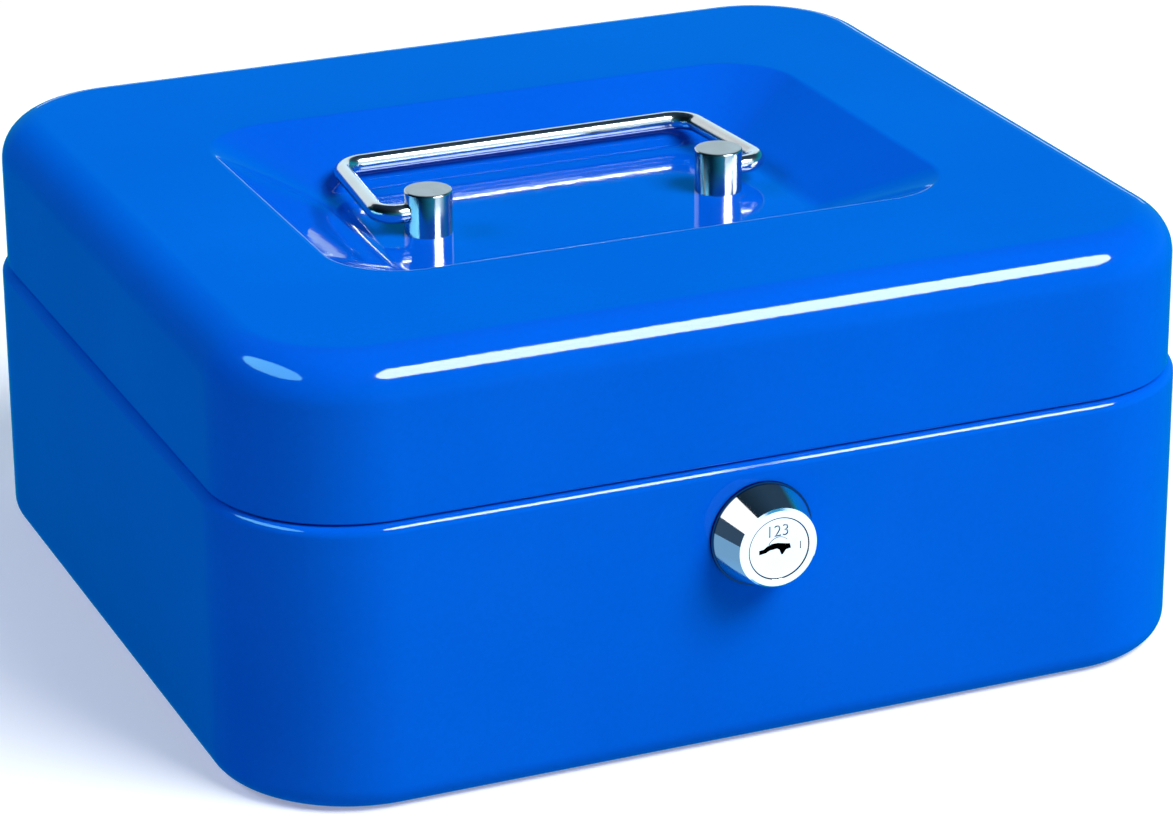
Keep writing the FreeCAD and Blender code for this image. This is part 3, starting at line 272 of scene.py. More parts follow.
def lock_hole(skin, rings, outer_row, inner_row):
    """The front wall's two faces round the lock's hole, a round with two flats, and the hole's own edge.

    Each face comes in a right and a left half. The rows are those that the outer face rises from, and the
    inner one falls from.
    """
    hole = []
    for x, z in circle_points(LOCK_HOLE_RADIUS, LOCK_HOLE_STEPS):
        hole.append((x, max(-LOCK_HOLE_FLAT, min(LOCK_HOLE_FLAT, z))))
    quarter = LOCK_HOLE_STEPS // 4
    near, far = WALL_Y, WALL_Y + SHEET
    for low, high, depth, way in (
            (outer_row, outer_row + 1, near, -1), (inner_row + 1, inner_row, far, 1)):
        edge = [(x, depth, LOCK_HEIGHT + z) for x, z in hole]
        right = edge[3 * quarter:] + edge[:quarter + 1]
        left = edge[quarter:3 * quarter + 1]
        for half, end in ((right, FRONT_RIGHT), (left[::-1], FRONT_LEFT)):
            outline = [
                rings[low][FRONT_MIDDLE], rings[low][end], rings[high][end], rings[high][FRONT_MIDDLE]]
            skin.face(outline + half[::-1], [(0, way, 0)] * (len(outline) + len(half)))
    for (x, z), (next_x, next_z) in zip(hole, hole[1:] + hole[:1]):
        skin.face(
            ((x, near, LOCK_HEIGHT + z), (next_x, near, LOCK_HEIGHT + next_z),
             (next_x, far, LOCK_HEIGHT + next_z), (x, far, LOCK_HEIGHT + z)),
            ((-x, 0, -z), (-next_x, 0, -next_z), (-next_x, 0, -next_z), (-x, 0, -z)))


def make_base():
    section = base_section()
    outer_wall = section.find(0.0, FOOT_RADIUS)
    cut_from = section.find(0.0, NOTCH_LOW)
    cut_to = section.find(-SHEET, NOTCH_LOW)
    skin = Skin()
    rings = section.wrap(
        skin, BASE_OUTLINE, (cut_from, cut_to), range(NOTCH_FIRST, NOTCH_LAST), (outer_wall, cut_to),
        (FRONT_LEFT, FRONT_MIDDLE))
    close_notch(skin, rings, cut_from, cut_to, True)
    skin.face(rings[0], [(0, 0, -1)] * len(rings[0]))
    skin.face(rings[-1], [(0, 0, 1)] * len(rings[-1]))
    lock_hole(skin, rings, outer_wall, cut_to)
    return skin.piece("base_shell_drawn")


# ---------------------------------------------------------------- lid

LID_OUTLINE = 100.0, 92.0, 27.5
LID_TOP = 90.0
CROWN = 9.0
CROWN_STEPS, CROWN_INNER_STEPS = 24, 16
SKIRT_BEND = 58.8
# The well: half width, half depth and corner radius at its lip and round its floor.
WELL_LIP = 65.5, 48.0, 16.0
WELL_FLOOR = 45.5, 27.0, 8.0
WELL_DROP = 10.0
WELL_CENTRE_Y = -1.8
LIP_RADIUS, LIP_STEPS = 3.0, 8
FLOOR_RADIUS, FLOOR_STEPS = 8.0, 12
POST_X, POST_Y = 32.0, -4.0
SCREW_HOLE_RADIUS, SCREW_HOLE_STEPS = 1.7, 32


def well_rings():
    """Rings down the well, from the flat top over the lip and the slope to the dished edge of its floor."""
    lip, outward = ring(*WELL_LIP, LID_TOP, WELL_CENTRE_Y)
    floor, _ = ring(*WELL_FLOOR, LID_TOP - WELL_DROP, WELL_CENTRE_Y)
    inward = -outward
    reach = ((floor - lip) * inward).sum(axis=1)
    along = (floor - lip) * (1, 1, 0) - inward * reach[:, None]
    slope = np.arctan2(WELL_DROP, reach)
    lip_start = -LIP_RADIUS * np.tan(slope / 2)
    floor_end = reach + FLOOR_RADIUS * np.tan(slope / 2)
    rows = []
    for radius, start, turning, steps in (
            (LIP_RADIUS, lip_start, 1, LIP_STEPS), (FLOOR_RADIUS, floor_end, -1, FLOOR_STEPS)):
        for step in range(steps + 1):
            share = step / steps if turning > 0 else 1 - step / steps
            tilt = slope * share
            into = start + turning * radius * np.sin(tilt)
            fall = radius * (1 - np.cos(tilt))
            height = LID_TOP - fall if turning > 0 else LID_TOP - WELL_DROP + fall
            points = lip * (1, 1, 0) + inward * into[:, None] + along * (into / reach)[:, None]
            points[:, 2] = height
            facing = inward * np.sin(tilt)[:, None] + np.array((0, 0, 1)) * np.cos(tilt)[:, None]
            rows.append((points, facing))
    return rows


def screw_hole(x):
    return circle_points(SCREW_HOLE_RADIUS, SCREW_HOLE_STEPS, (x, POST_Y))


def well_floor(skin, edge, height, way):
    """The well's floor, in a front and a rear part that meet at the two screw holes."""
    holes = []
    for x in (POST_X, -POST_X):
        holes.append([(px, py, height) for px, py in screw_hole(x)])
    half_way = SCREW_HOLE_STEPS // 2
    right_side = QUARTER - 1
    left_side = 3 * QUARTER - 1
    rear = list(edge[right_side:left_side + 1])
    front = list(edge[left_side:]) + list(edge[:right_side + 1])
    parts = (rear, holes[1], holes[0], True), (front, holes[0], holes[1], False)
    for outline, first, second, upper in parts:
        path = list(outline)
        for hole in (first, second):
            half = hole[:half_way + 1] if upper else hole[half_way:] + hole[:1]
            path += half[::-1]
        skin.face(path, [(0, 0, way)] * len(path))


def make_lid():
    crown_low = LID_TOP - CROWN
    section = Section(-CROWN, LID_TOP - SHEET)
    section.arc(-CROWN, crown_low, CROWN - SHEET, 90, 0, CROWN_INNER_STEPS, hollow=True)
    section.line(-SHEET, NOTCH_HIGH)
    section.line(-SHEET, SKIRT_BEND)
    section.arc(-SHEET / 2, SKIRT_BEND, SHEET / 2, 180, 360, EDGE_STEPS)
    section.line(0.0, NOTCH_HIGH)
    section.line(0.0, crown_low)
    section.arc(-CROWN, crown_low, CROWN, 0, 90, CROWN_STEPS)
    cut_from = section.find(-SHEET, NOTCH_HIGH)
    cut_to = section.find(0.0, NOTCH_HIGH)
    skin = Skin()
    rings = section.wrap(skin, LID_OUTLINE, (cut_from, cut_to), range(NOTCH_FIRST, NOTCH_LAST))
    close_notch(skin, rings, cut_from, cut_to, False)
    up = np.tile((0.0, 0.0, 1.0), (len(rings[0]), 1))
    outer = well_rings()
    inner = [(points - SHEET * facing, -facing) for points, facing in outer]
    skin.band(rings[-1], outer[0][0], up, up)
    skin.band(rings[0], inner[0][0], -up, -up)
    for rows in (outer, inner):
        for (low, low_facing), (high, high_facing) in zip(rows, rows[1:]):
            skin.band(low, high, low_facing, high_facing)
    floor_height = LID_TOP - WELL_DROP
    well_floor(skin, outer[-1][0], floor_height, 1)
    low = floor_height - SHEET
    well_floor(skin, inner[-1][0], low, -1)
    for x in (POST_X, -POST_X):
        edge = screw_hole(x)
        for (ax, ay), (bx, by) in zip(edge, edge[1:] + edge[:1]):
            skin.face(
                ((ax, ay, low), (bx, by, low), (bx, by, floor_height), (ax, ay, floor_height)),
                ((x - ax, POST_Y - ay, 0), (x - bx, POST_Y - by, 0)) * 2)
    return skin.piece("lid_shell_drawn")


# ---------------------------------------------------------------- bail handle

WIRE_RADIUS = 1.9
WIRE_STEPS = 48
BAIL_PIVOT = Vector((0.0, POST_Y, 84.6))
BAIL_TILT = math.radians(0.3)
STUB_END = 33.9
FRONT_HALF, REACH = 42.3, 32.5
ARM_LEAN = math.radians(4.9)
BENDS = 4.2, 5.5, 5.5, 4.2
BEND_STEPS = 16
STRAIGHT_STEP = 2.5
END_BEVEL = 0.35


def bail_path():
    """Points and run directions along the middle of the wire, in the bail's own plane."""
    rear_half = FRONT_HALF - REACH * math.tan(ARM_LEAN)
    corners = [Vector(c) for c in (
        (-STUB_END, 0), (-FRONT_HALF, 0), (-rear_half, REACH), (rear_half, REACH), (FRONT_HALF, 0),
        (STUB_END, 0))]
    path = []
    start = corners[0]
    for index, radius in enumerate(BENDS, start=1):
        before = (corners[index] - start).normalized()
        after = (corners[index + 1] - corners[index]).normalized()
        turn = before.angle(after)
        sign = 1 if before.x * after.y - before.y * after.x > 0 else -1
        setback = radius * math.tan(turn / 2)
        first = corners[index] - before * setback
        centre = first + Vector((-before.y, before.x)) * sign * radius
        straight = (first - start).length
        count = max(2, int(straight / STRAIGHT_STEP))
        for step in range(count):
            path.append((start + before * straight * step / count, before))
        for step in range(BEND_STEPS + 1):
            angle = sign * turn * step / BEND_STEPS
            spin = Matrix.Rotation(angle, 2)
            path.append((centre + spin @ (first - centre), spin @ before))
        start = path.pop()[0]
        corners[index] = start
    end = corners[-1]
    run = (end - start).normalized()
    path += [(start, run), (end, run)]
    return path


def make_bail():
    path = bail_path()
    tilt = Matrix.Rotation(BAIL_TILT, 3, "X")
    skin = Skin()
    rows = []
    run = 0.0
    runs = []
    for index, (point, way) in enumerate(path):
        if index:
            run += (point - path[index - 1][0]).length
        side = Vector((way.y, -way.x, 0.0))
        edge = END_BEVEL if index in (0, len(path) - 1) else 0.0
        points = []
        facings = []
        for step in range(WIRE_STEPS):
            angle = 2 * math.pi * step / WIRE_STEPS
            out = side * math.cos(angle) + Vector((0.0, 0.0, 1.0)) * math.sin(angle)
            points.append(tuple(BAIL_PIVOT + tilt @ (point.to_3d() + out * (WIRE_RADIUS - edge))))
            facings.append(tuple(tilt @ out))
            runs.append((run, angle, 0.0))
        rows.append((points, facings))
    for (low, low_facing), (high, high_facing) in zip(rows, rows[1:]):
        skin.band(low, high, low_facing, high_facing)
    for (points, _), way in ((rows[0], 1), (rows[-1], -1)):
        skin.face(points, [(way, 0, 0)] * WIRE_STEPS)
    made = skin.piece("handle_bail_bent")
    place = {skin.vertex(p): r for p, r in zip([p for points, _ in rows for p in points], runs)}
    along = made.data.attributes.new("along_wire", "FLOAT_VECTOR", "POINT")
    along.data.foreach_set("vector", np.array([place[i] for i in range(len(place))], np.float32).ravel())
    return made


# ---------------------------------------------------------------- lock plug with its marks

LOCK_FACE_Y = -101.35
MARK_DEPTH = 0.2
SHARP_ANGLE = 25


@contextmanager
def edited(mesh):
    work = bmesh.new()
    work.from_mesh(mesh)
    yield work
    work.to_mesh(mesh)
    work.free()


def solid_copy(name, node):
    """A closed copy of a CAD node, ready to be cut."""
    mesh = bpy.data.meshes.new(name)
    with edited(mesh) as work:
        work.from_mesh(NODES[node].data)
        bmesh.ops.remove_doubles(work, verts=work.verts, dist=2e-6)
    return new_object(name, mesh)


def cut_away(piece, tool):
    cutter = piece.modifiers.new("cut", "BOOLEAN")
    cutter.operation = "DIFFERENCE"
    cutter.solver = "EXACT"
    cutter.object = tool
    settle(piece)
    bpy.data.objects.remove(tool)


def settle(piece):
    """Replaces a piece's mesh by the result of its modifiers."""
    view = bpy.context.evaluated_depsgraph_get()
    result = bpy.data.meshes.new_from_object(piece.evaluated_get(view))
    piece.modifiers.clear()
    piece.data = result


def ease_edges(piece, degrees):
    """Smooth shading, with a hard edge wherever two faces meet at more than the given angle."""
    with edited(piece.data) as work:
        for face in work.faces:
            face.smooth = True
        for edge in work.edges:
            edge.smooth = len(edge.link_faces) == 2 and edge.calc_face_angle(0) < math.radians(degrees)


def marking(text, size, x, z):
    letters = bpy.data.curves.new("mark", "FONT")
    letters.body = text
    letters.size = size * METRES
    letters.align_x = "CENTER"
    letters.extrude = MARK_DEPTH * METRES
    letters.resolution_u = 4
    words = new_object("mark", letters)
    words.matrix_world = (
        Matrix.Translation(Vector((x, LOCK_FACE_Y, z)) * METRES) @ Matrix.Rotation(math.pi / 2, 4, "X"))
    bpy.context.view_layer.update()
    view = bpy.context.evaluated_depsgraph_get()
    mesh = bpy.data.meshes.new_from_object(words.evaluated_get(view))
    mesh.transform(words.matrix_world)
    with edited(mesh) as work:
        bmesh.ops.remove_doubles(work, verts=work.verts, dist=1e-7)
    bpy.data.objects.remove(words)
    return new_object("mark_tool", mesh)


def box_tool(low, high):
    mesh = bpy.data.meshes.new("box_tool")
    middle = (Vector(low) + Vector(high)) / 2 * METRES
    span = (Vector(high) - Vector(low)) * METRES
    with edited(mesh) as work:
        bmesh.ops.create_cube(work, size=1.0)
        for vertex in work.verts:
            vertex.co = middle + Vector(a * b for a, b in zip(vertex.co, span))
    return new_object("box_tool", mesh)


def groove_tool(inner, outer, depth, first, last, steps):
    """Part of a flat ring about the lock's axis, from one angle to another, sunk into the face."""
    proud = 0.5
    section = ((inner, proud), (outer, proud), (outer, -depth), (inner, -depth))
    rows = []
    for step in range(steps + 1):
        angle = math.radians(first + (last - first) * step / steps)
        rows.append([
            (r * math.cos(angle), LOCK_FACE_Y - out, LOCK_HEIGHT + r * math.sin(angle))
            for r, out in section])
    closed = abs(last - first) == 360
    points = [tuple(c * METRES for c in point) for row in (rows[:-1] if closed else rows) for point in row]
    count = len(points) // 4
    faces = []
    for i in range(steps):
        j = (i + 1) % count
        for k in range(4):
            m = (k + 1) % 4
            faces.append((4 * i + k, 4 * i + m, 4 * j + m, 4 * j + k))
    if not closed:
        faces += [(3, 2, 1, 0), tuple(4 * (count - 1) + k for k in range(4))]
    mesh = bpy.data.meshes.new("groove_tool")
    mesh.from_pydata(points, [], faces)
    with edited(mesh) as work:
        bmesh.ops.recalc_face_normals(work, faces=work.faces)
    return new_object("groove_tool", mesh)


# The plug's marks: a number, a groove round its edge, an arc over the keyway and an index line at the right.
NUMBER = {"text": "123", "size": 3.3, "x": -0.3, "z": LOCK_HEIGHT + 2.5}
EDGE_GROOVE = {"inner": 6.05, "outer": 6.6, "depth": 0.35, "first": 0, "last": 360, "steps": 128}
KEYWAY_ARC = {"inner": 2.25, "outer": 2.4, "depth": 0.12, "first": 45, "last": 155, "steps": 32}
INDEX_LINE = {
    "low": (4.35, LOCK_FACE_Y - 1, LOCK_HEIGHT - 0.75),
    "high": (4.6, LOCK_FACE_Y + MARK_DEPTH, LOCK_HEIGHT + 0.75)}


def make_plug():
    made = solid_copy("lock_plug_marked", "lock_plug")
    cut_away(made, marking(**NUMBER))
    cut_away(made, groove_tool(**EDGE_GROOVE))
    cut_away(made, groove_tool(**KEYWAY_ARC))
    cut_away(made, box_tool(**INDEX_LINE))
    ease_edges(made, SHARP_ANGLE)
    return made


# ---------------------------------------------------------------- materials


class Finish:
    """A node material with a few short calls for the parts that every finish uses."""

    def __init__(self, name, **values):
        self.material = bpy.data.materials.new(name)
        self.material.use_nodes = True
        self.tree = self.material.node_tree
        self.shader = self.tree.nodes["Principled BSDF"]
        for socket, value in values.items():
            self.shader.inputs[socket.replace("_", " ")].default_value = value
        self.height = None

    def node(self, kind, links=(), **settings):
        made = self.tree.nodes.new(kind)
        for key, value in settings.items():
            setattr(made, key, value)
        for socket, source in dict(links).items():
            if isinstance(source, bpy.types.NodeSocket):
                self.tree.links.new(source, made.inputs[socket])
            else:
                made.inputs[socket].default_value = source
        return made

    def place(self, stretch=(1.0, 1.0, 1.0), origin=(0.0, 0.0, 0.0), attribute=None):
        """Where on the piece a point is, in metres, moved and stretched."""
        if attribute:
            source = self.node("ShaderNodeAttribute", attribute_name=attribute).outputs["Vector"]
        else:
            source = self.node("ShaderNodeTexCoord").outputs["Object"]
        moved = self.node("ShaderNodeVectorMath", {0: source, 1: origin}, operation="SUBTRACT")
        return self.node(
            "ShaderNodeVectorMath", {0: moved.outputs[0], 1: stretch}, operation="MULTIPLY").outputs[0]

    def along(self, vector, axis):
        return self.node("ShaderNodeSeparateXYZ", {0: vector}).outputs[axis]

    def facing(self):
        return self.node("ShaderNodeTexCoord").outputs["Normal"]

    def lean(self, offset):
        """Tips the shading by an offset in the piece's own directions, before any bump is added."""
        leaned = self.node("ShaderNodeVectorMath", {0: self.facing(), 1: offset}, operation="ADD")
        self.height = self.node(
            "ShaderNodeVectorTransform", {0: leaned.outputs[0]}, vector_type="NORMAL", convert_from="OBJECT",
            convert_to="WORLD").outputs[0]

    def noise(self, where, scale, detail=3.0, roughness=0.5):
        return self.node(
            "ShaderNodeTexNoise",
            {"Vector": where, "Scale": scale, "Detail": detail, "Roughness": roughness}).outputs["Fac"]

    def spots(self, where, scale):
        return self.node("ShaderNodeTexVoronoi", {"Vector": where, "Scale": scale}).outputs["Distance"]

    def spread(self, value, low, high, out_low, out_high):
        return self.node("ShaderNodeMapRange", {
            "Value": value, "From Min": low, "From Max": high, "To Min": out_low, "To Max": out_high,
        }).outputs["Result"]

    def blend(self, share, first, second):
        made = self.node("ShaderNodeMix", {"Factor": share}, data_type="RGBA")
        for socket, colour in ((6, first), (7, second)):
            if isinstance(colour, bpy.types.NodeSocket):
                self.tree.links.new(colour, made.inputs[socket])
            else:
                made.inputs[socket].default_value = (*colour, 1.0)
        return made.outputs[2]

    def maths(self, operation, *values):
        return self.node("ShaderNodeMath", dict(enumerate(values)), operation=operation).outputs[0]

    def set(self, socket, value):
        self.tree.links.new(value, self.shader.inputs[socket])

    def bump(self, height, strength, distance, socket="Normal"):
        links = {"Height": height, "Strength": strength, "Distance": distance}
        if self.height is not None and socket == "Normal":
            links["Normal"] = self.height
        made = self.node("ShaderNodeBump", links).outputs["Normal"]
        if socket == "Normal":
            self.height = made
        self.set(socket, made)


# The enamel is dull out to the first distance from the lock's axis, and glossy from the second one.
DULL_OUT_TO, GLOSSY_FROM = 13.0, 16.5
DULL_COAT = 0.12
# Behind these depths nothing is dull, so that only the front wall is.
WALL_BACK, WALL_CLEAR = WALL_Y + 3.2, WALL_Y + 5.2


def enamel():
    finish = Finish("blue_enamel", Roughness=0.32, IOR=1.5, Specular_IOR_Level=0.0, Coat_IOR=1.5)
    where = finish.place()
    broad = finish.noise(where, 14.0, 4.0, 0.55)
    fine = finish.noise(where, 900.0, 2.0, 0.6)
    share = finish.maths(
        "ADD", finish.maths("MULTIPLY", broad, 0.7), finish.maths("MULTIPLY", fine, 0.3))
    finish.set("Base Color", finish.blend(
        finish.spread(share, 0.35, 0.65, 0.0, 1.0), (0.0, 0.102, 0.66), (0.0, 0.117, 0.72)))
    finish.set("Coat Roughness", finish.spread(finish.noise(where, 60.0, 3.0), 0.3, 0.7, 0.045, 0.075))
    peel = finish.noise(where, 420.0, 1.5, 0.4)
    finish.bump(peel, 0.09, 0.0002, "Coat Normal")
    finish.bump(fine, 0.06, 0.00005)
    # The lacquer is rubbed dull on the front wall close around the lock.
    around_lock = finish.place((1.0, 0.0, 1.0), (0.0, 0.0, LOCK_HEIGHT * METRES))
    away = finish.node("ShaderNodeVectorMath", {0: around_lock}, operation="LENGTH").outputs["Value"]
    gloss = finish.spread(away, DULL_OUT_TO * METRES, GLOSSY_FROM * METRES, DULL_COAT, 1.0)
    behind_wall = finish.spread(
        finish.along(where, 1), WALL_BACK * METRES, WALL_CLEAR * METRES, 0.0, 1.0)
    finish.set("Coat Weight", finish.maths("MAXIMUM", gloss, behind_wall))
    return finish.material


def turned(finish, where, axis, pitch):
    """Rings about an axis through the origin, as a tool leaves on a turned face."""
    parts = finish.node("ShaderNodeSeparateXYZ", {0: where}).outputs
    first, second = [parts[i] for i in range(3) if i != axis]
    squares = finish.maths(
        "ADD", finish.maths("MULTIPLY", first, first), finish.maths("MULTIPLY", second, second))
    ring_place = finish.node("ShaderNodeCombineXYZ", {0: finish.maths("SQRT", squares)}).outputs[0]
    return finish.noise(ring_place, 1.0 / pitch, 3.0, 0.6)


# How far below a face its marks are filled, and from where they are painted dark as shade in the recess.
FILLED = 0.05
SHADE_FROM, SHADE_TO = 0.2, 0.28
# The band of painted contact shadow round the bezel's foot, as distances in front of the wall.
CONTACT_SHADOW_FRONT, CONTACT_SHADOW_BACK = 0.9, 0.65


def chrome(name, sunk_from=None, flare=0.0):
    """Bright plate with fine turning rings.

    Marks sunk below a face hold grey filler, and deep ones are painted near black as shade in the recess.
    A flare leans the shading outwards, as a slightly hollow cone does, and paints a dark blue contact shadow
    round the cone's foot where it meets the wall.
    """
    finish = Finish(name, Base_Color=(0.86, 0.88, 0.9, 1.0), Metallic=1.0, Roughness=0.06)
    where = finish.place(origin=(0.0, 0.0, LOCK_HEIGHT * METRES))
    rings = turned(finish, where, 1, 0.3 * METRES)
    smudge = finish.noise(where, 160.0, 4.0)
    finish.set("Roughness", finish.spread(smudge, 0.3, 0.75, 0.035, 0.11))
    colour = finish.blend(smudge, (0.83, 0.85, 0.88), (0.9, 0.91, 0.92))
    depth = finish.along(finish.place(), 1)
    if sunk_from is not None:
        shallow = finish.spread(depth, sunk_from * METRES, (sunk_from + FILLED) * METRES, 0.0, 1.0)
        # Deep recesses, the keyway and the edge groove, are painted near black as shade.
        deep_shade = finish.spread(
            depth, (sunk_from + SHADE_FROM) * METRES, (sunk_from + SHADE_TO) * METRES, 0.0, 1.0)
        colour = finish.blend(shallow, colour, (0.28, 0.29, 0.3))
        colour = finish.blend(deep_shade, colour, (0.012, 0.012, 0.014))
    if flare:
        # The lean is strongest on the face and the edge that look straight forward.
        forward = finish.maths("MULTIPLY", finish.along(finish.facing(), 1), -1.0)
        outwards = finish.spread(forward, 0.4, 0.6, -flare, -8.0 * flare)
        finish.lean(finish.node("ShaderNodeCombineXYZ", {1: outwards}).outputs[0])
        # Painted contact shadow: the cone's foot next to the wall is painted dark blue.
        contact_shadow = finish.spread(
            depth, (WALL_Y - CONTACT_SHADOW_FRONT) * METRES, (WALL_Y - CONTACT_SHADOW_BACK) * METRES, 0.0, 1.0)
        colour = finish.blend(contact_shadow, colour, (0.004, 0.03, 0.1))
    finish.set("Base Color", colour)
    finish.bump(rings, 0.05, 0.00003)
    return finish.material


def polished_wire():
    finish = Finish("polished_wire", Metallic=1.0)
    along = finish.place((0.02, 4.0, 0.0), attribute="along_wire")
    draw_lines = finish.noise(along, 6.0, 4.0, 0.6)
    smudge = finish.noise(finish.place(), 120.0, 3.0)
    finish.set("Roughness", finish.spread(draw_lines, 0.3, 0.7, 0.1, 0.2))
    finish.set("Base Color", finish.blend(smudge, (0.6, 0.6, 0.61), (0.76, 0.76, 0.76)))
    finish.bump(draw_lines, 0.12, 0.00003)
    return finish.material


def turned_steel():
    finish = Finish("turned_steel", Metallic=1.0)
    x_away = finish.maths("ABSOLUTE", finish.along(finish.place(), 0))
    from_post = finish.maths("SUBTRACT", x_away, POST_X * METRES)
    beside = finish.node("ShaderNodeSeparateXYZ", {0: finish.place(origin=(0, POST_Y * METRES, 0))}).outputs
    local = finish.node("ShaderNodeCombineXYZ", {0: from_post, 1: beside[1], 2: beside[2]}).outputs[0]
    rings = turned(finish, local, 2, 0.25 * METRES)
    top = finish.spread(finish.along(finish.facing(), 2), 0.7, 0.9, 0.0, 1.0)
    smudge = finish.noise(finish.place(), 300.0, 4.0)
    finish.set("Base Color", finish.blend(smudge, (0.52, 0.53, 0.54), (0.68, 0.68, 0.68)))
    side_rough = finish.spread(smudge, 0.3, 0.7, 0.1, 0.18)
    top_rough = finish.spread(smudge, 0.3, 0.7, 0.38, 0.5)
    mixed = finish.maths("ADD", side_rough, finish.maths(
        "MULTIPLY", top, finish.maths("SUBTRACT", top_rough, side_rough)))
    finish.set("Roughness", mixed)
    finish.lean((0.0, 0.0, 0.24))
    finish.bump(rings, 0.2, 0.00003)
    return finish.material


def zinc():
    finish = Finish("plated_steel", Metallic=1.0)
    where = finish.place()
    cells = finish.spots(where, 900.0)
    cloud = finish.noise(where, 180.0, 4.0)
    finish.set("Base Color", finish.blend(cloud, (0.5, 0.5, 0.47), (0.72, 0.71, 0.66)))
    finish.set("Roughness", finish.spread(cells, 0.0, 0.8, 0.26, 0.42))
    finish.bump(cells, 0.12, 0.00005)
    return finish.material


def bright_steel():
    finish = Finish("plain_steel", Metallic=1.0)
    streaks = finish.noise(finish.place((0.08, 1.0, 1.0)), 1500.0, 3.0, 0.6)
    finish.set("Base Color", finish.blend(streaks, (0.42, 0.42, 0.43), (0.6, 0.6, 0.6)))
    finish.set("Roughness", finish.spread(streaks, 0.3, 0.7, 0.22, 0.36))
    finish.bump(streaks, 0.15, 0.00003)
    return finish.material


def brass():
    finish = Finish("brass_sheet", Metallic=1.0)
    where = finish.place()
    grain = finish.noise(where, 1200.0, 4.0)
    finish.set("Base Color", finish.blend(grain, (0.62, 0.43, 0.17), (0.78, 0.58, 0.27)))
    finish.set("Roughness", finish.spread(grain, 0.3, 0.7, 0.25, 0.4))
    finish.bump(grain, 0.1, 0.00003)
    return finish.material


def plastic():
    finish = Finish("tray_plastic", IOR=1.49)
    where = finish.place()
    grain = finish.spots(where, 1400.0)
    cloud = finish.noise(where, 30.0, 4.0)
    finish.set("Base Color", finish.blend(cloud, (0.018, 0.019, 0.021), (0.03, 0.031, 0.033)))
    finish.set("Roughness", finish.spread(grain, 0.1, 0.8, 0.42, 0.6))
    finish.bump(grain, 0.25, 0.00008)
    return finish.material


BLUE, WIRE, POSTS = enamel(), polished_wire(), turned_steel()
CHROME = chrome("chrome_plate", flare=0.42)
PLUG_CHROME = chrome("chrome_plug", sunk_from=LOCK_FACE_Y + 0.04)
ZINC, STEEL, BRASS, PLASTIC = zinc(), bright_steel(), brass(), plastic()


def dress(piece, material):
    piece.data.materials.clear()
    piece.data.materials.append(material)


SLOT_FINISH = {
    "blue_enamel": BLUE, "chrome_plate": CHROME, "polished_wire": POSTS, "plated_steel": ZINC,
    "plain_steel": STEEL, "brass_sheet": BRASS, "tray_plastic": PLASTIC,
}
for cad_node in NODES.values():
    dress(cad_node, SLOT_FINISH[cad_node.data.materials[0].name])

# ---------------------------------------------------------------- pieces that stand for CAD nodes

for builder, node_name, body, slot_name, material in (
        (make_base, "base_shell", "base", "blue_enamel", BLUE),
        (make_lid, "lid_shell", "lid", "blue_enamel", BLUE),
        (make_bail, "handle_bail", "handle", "polished_wire", WIRE),
        (make_plug, "lock_plug", "lock", "chrome_plate", PLUG_CHROME)):
    piece = builder()
    dress(piece, material)
    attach(piece, body)
    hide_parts(node_name)

# ---------------------------------------------------------------- floor, light and camera

FLOOR_HALF = 6.0
WHITE = 1.0, 1.0, 1.0


def make_floor():
    finish = Finish(
        "studio_floor", Roughness=0.6, Specular_IOR_Level=0.2, Emission_Color=(*WHITE, 1.0),
        Emission_Strength=0.27)
    where = finish.place()
    cloud = finish.noise(where, 6.0, 4.0)
    # Less of the floor's white is thrown back onto the box, so that the blue keeps its depth.
    bounce = finish.maths(
        "MULTIPLY", finish.node("ShaderNodeLightPath").outputs["Is Diffuse Ray"], 0.55)
    clean = finish.blend(cloud, (0.9, 0.9, 0.9), (0.93, 0.93, 0.93))
    finish.set("Base Color", finish.blend(bounce, clean, (0.0, 0.0, 0.0)))
    finish.bump(finish.noise(where, 900.0, 3.0), 0.02, 0.0001)
    mesh = bpy.data.meshes.new("studio_floor")
    corners = [(x * FLOOR_HALF, y * FLOOR_HALF, 0) for x, y in ((-1, -1), (1, -1), (1, 1), (-1, 1))]
    mesh.from_pydata(corners, [], [(0, 1, 2, 3)])
    mesh.materials.append(finish.material)
    floor = new_object("studio_floor", mesh)
    floor.visible_glossy = False
    floor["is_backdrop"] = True


def direction(azimuth, elevation):
    """From the box towards a place at the given angles in radians, with azimuth 0 in front."""
    return Vector((
        math.sin(azimuth) * math.cos(elevation), -math.cos(azimuth) * math.cos(elevation),
        math.sin(elevation)))


def area_lamp(name, middle, back, width, height, energy, colour, shape):
    """A panel whose lit side looks against the direction back. The camera doesn't see it."""
    panel = bpy.data.lights.new(name, "AREA")
    panel.shape = shape
    panel.size, panel.size_y = width, height
    panel.energy = energy
    panel.color = colour
    lamp = new_object(name, panel)
    lamp.matrix_world = Matrix.Translation(middle) @ back.to_track_quat("Z", "Y").to_matrix().to_4x4()
    lamp.visible_camera = False
    lamp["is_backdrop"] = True
    return lamp


def make_light(name, azimuth, elevation, distance, width, height, level, colour=WHITE, glossy=True,
               diffuse=True, shape="RECTANGLE"):
    """A soft panel facing the box.

    Level is the share of full white that it alone gives a sheet that faces it.
    """
    back = direction(math.radians(azimuth), math.radians(elevation))
    middle = Vector((0.0, 0.0, 0.06)) + back * distance
    energy = level * math.pi ** 2 * distance ** 2
    lamp = area_lamp(name, middle, back, width, height, energy, colour, shape)
    lamp.visible_glossy = glossy
    lamp.visible_diffuse = diffuse


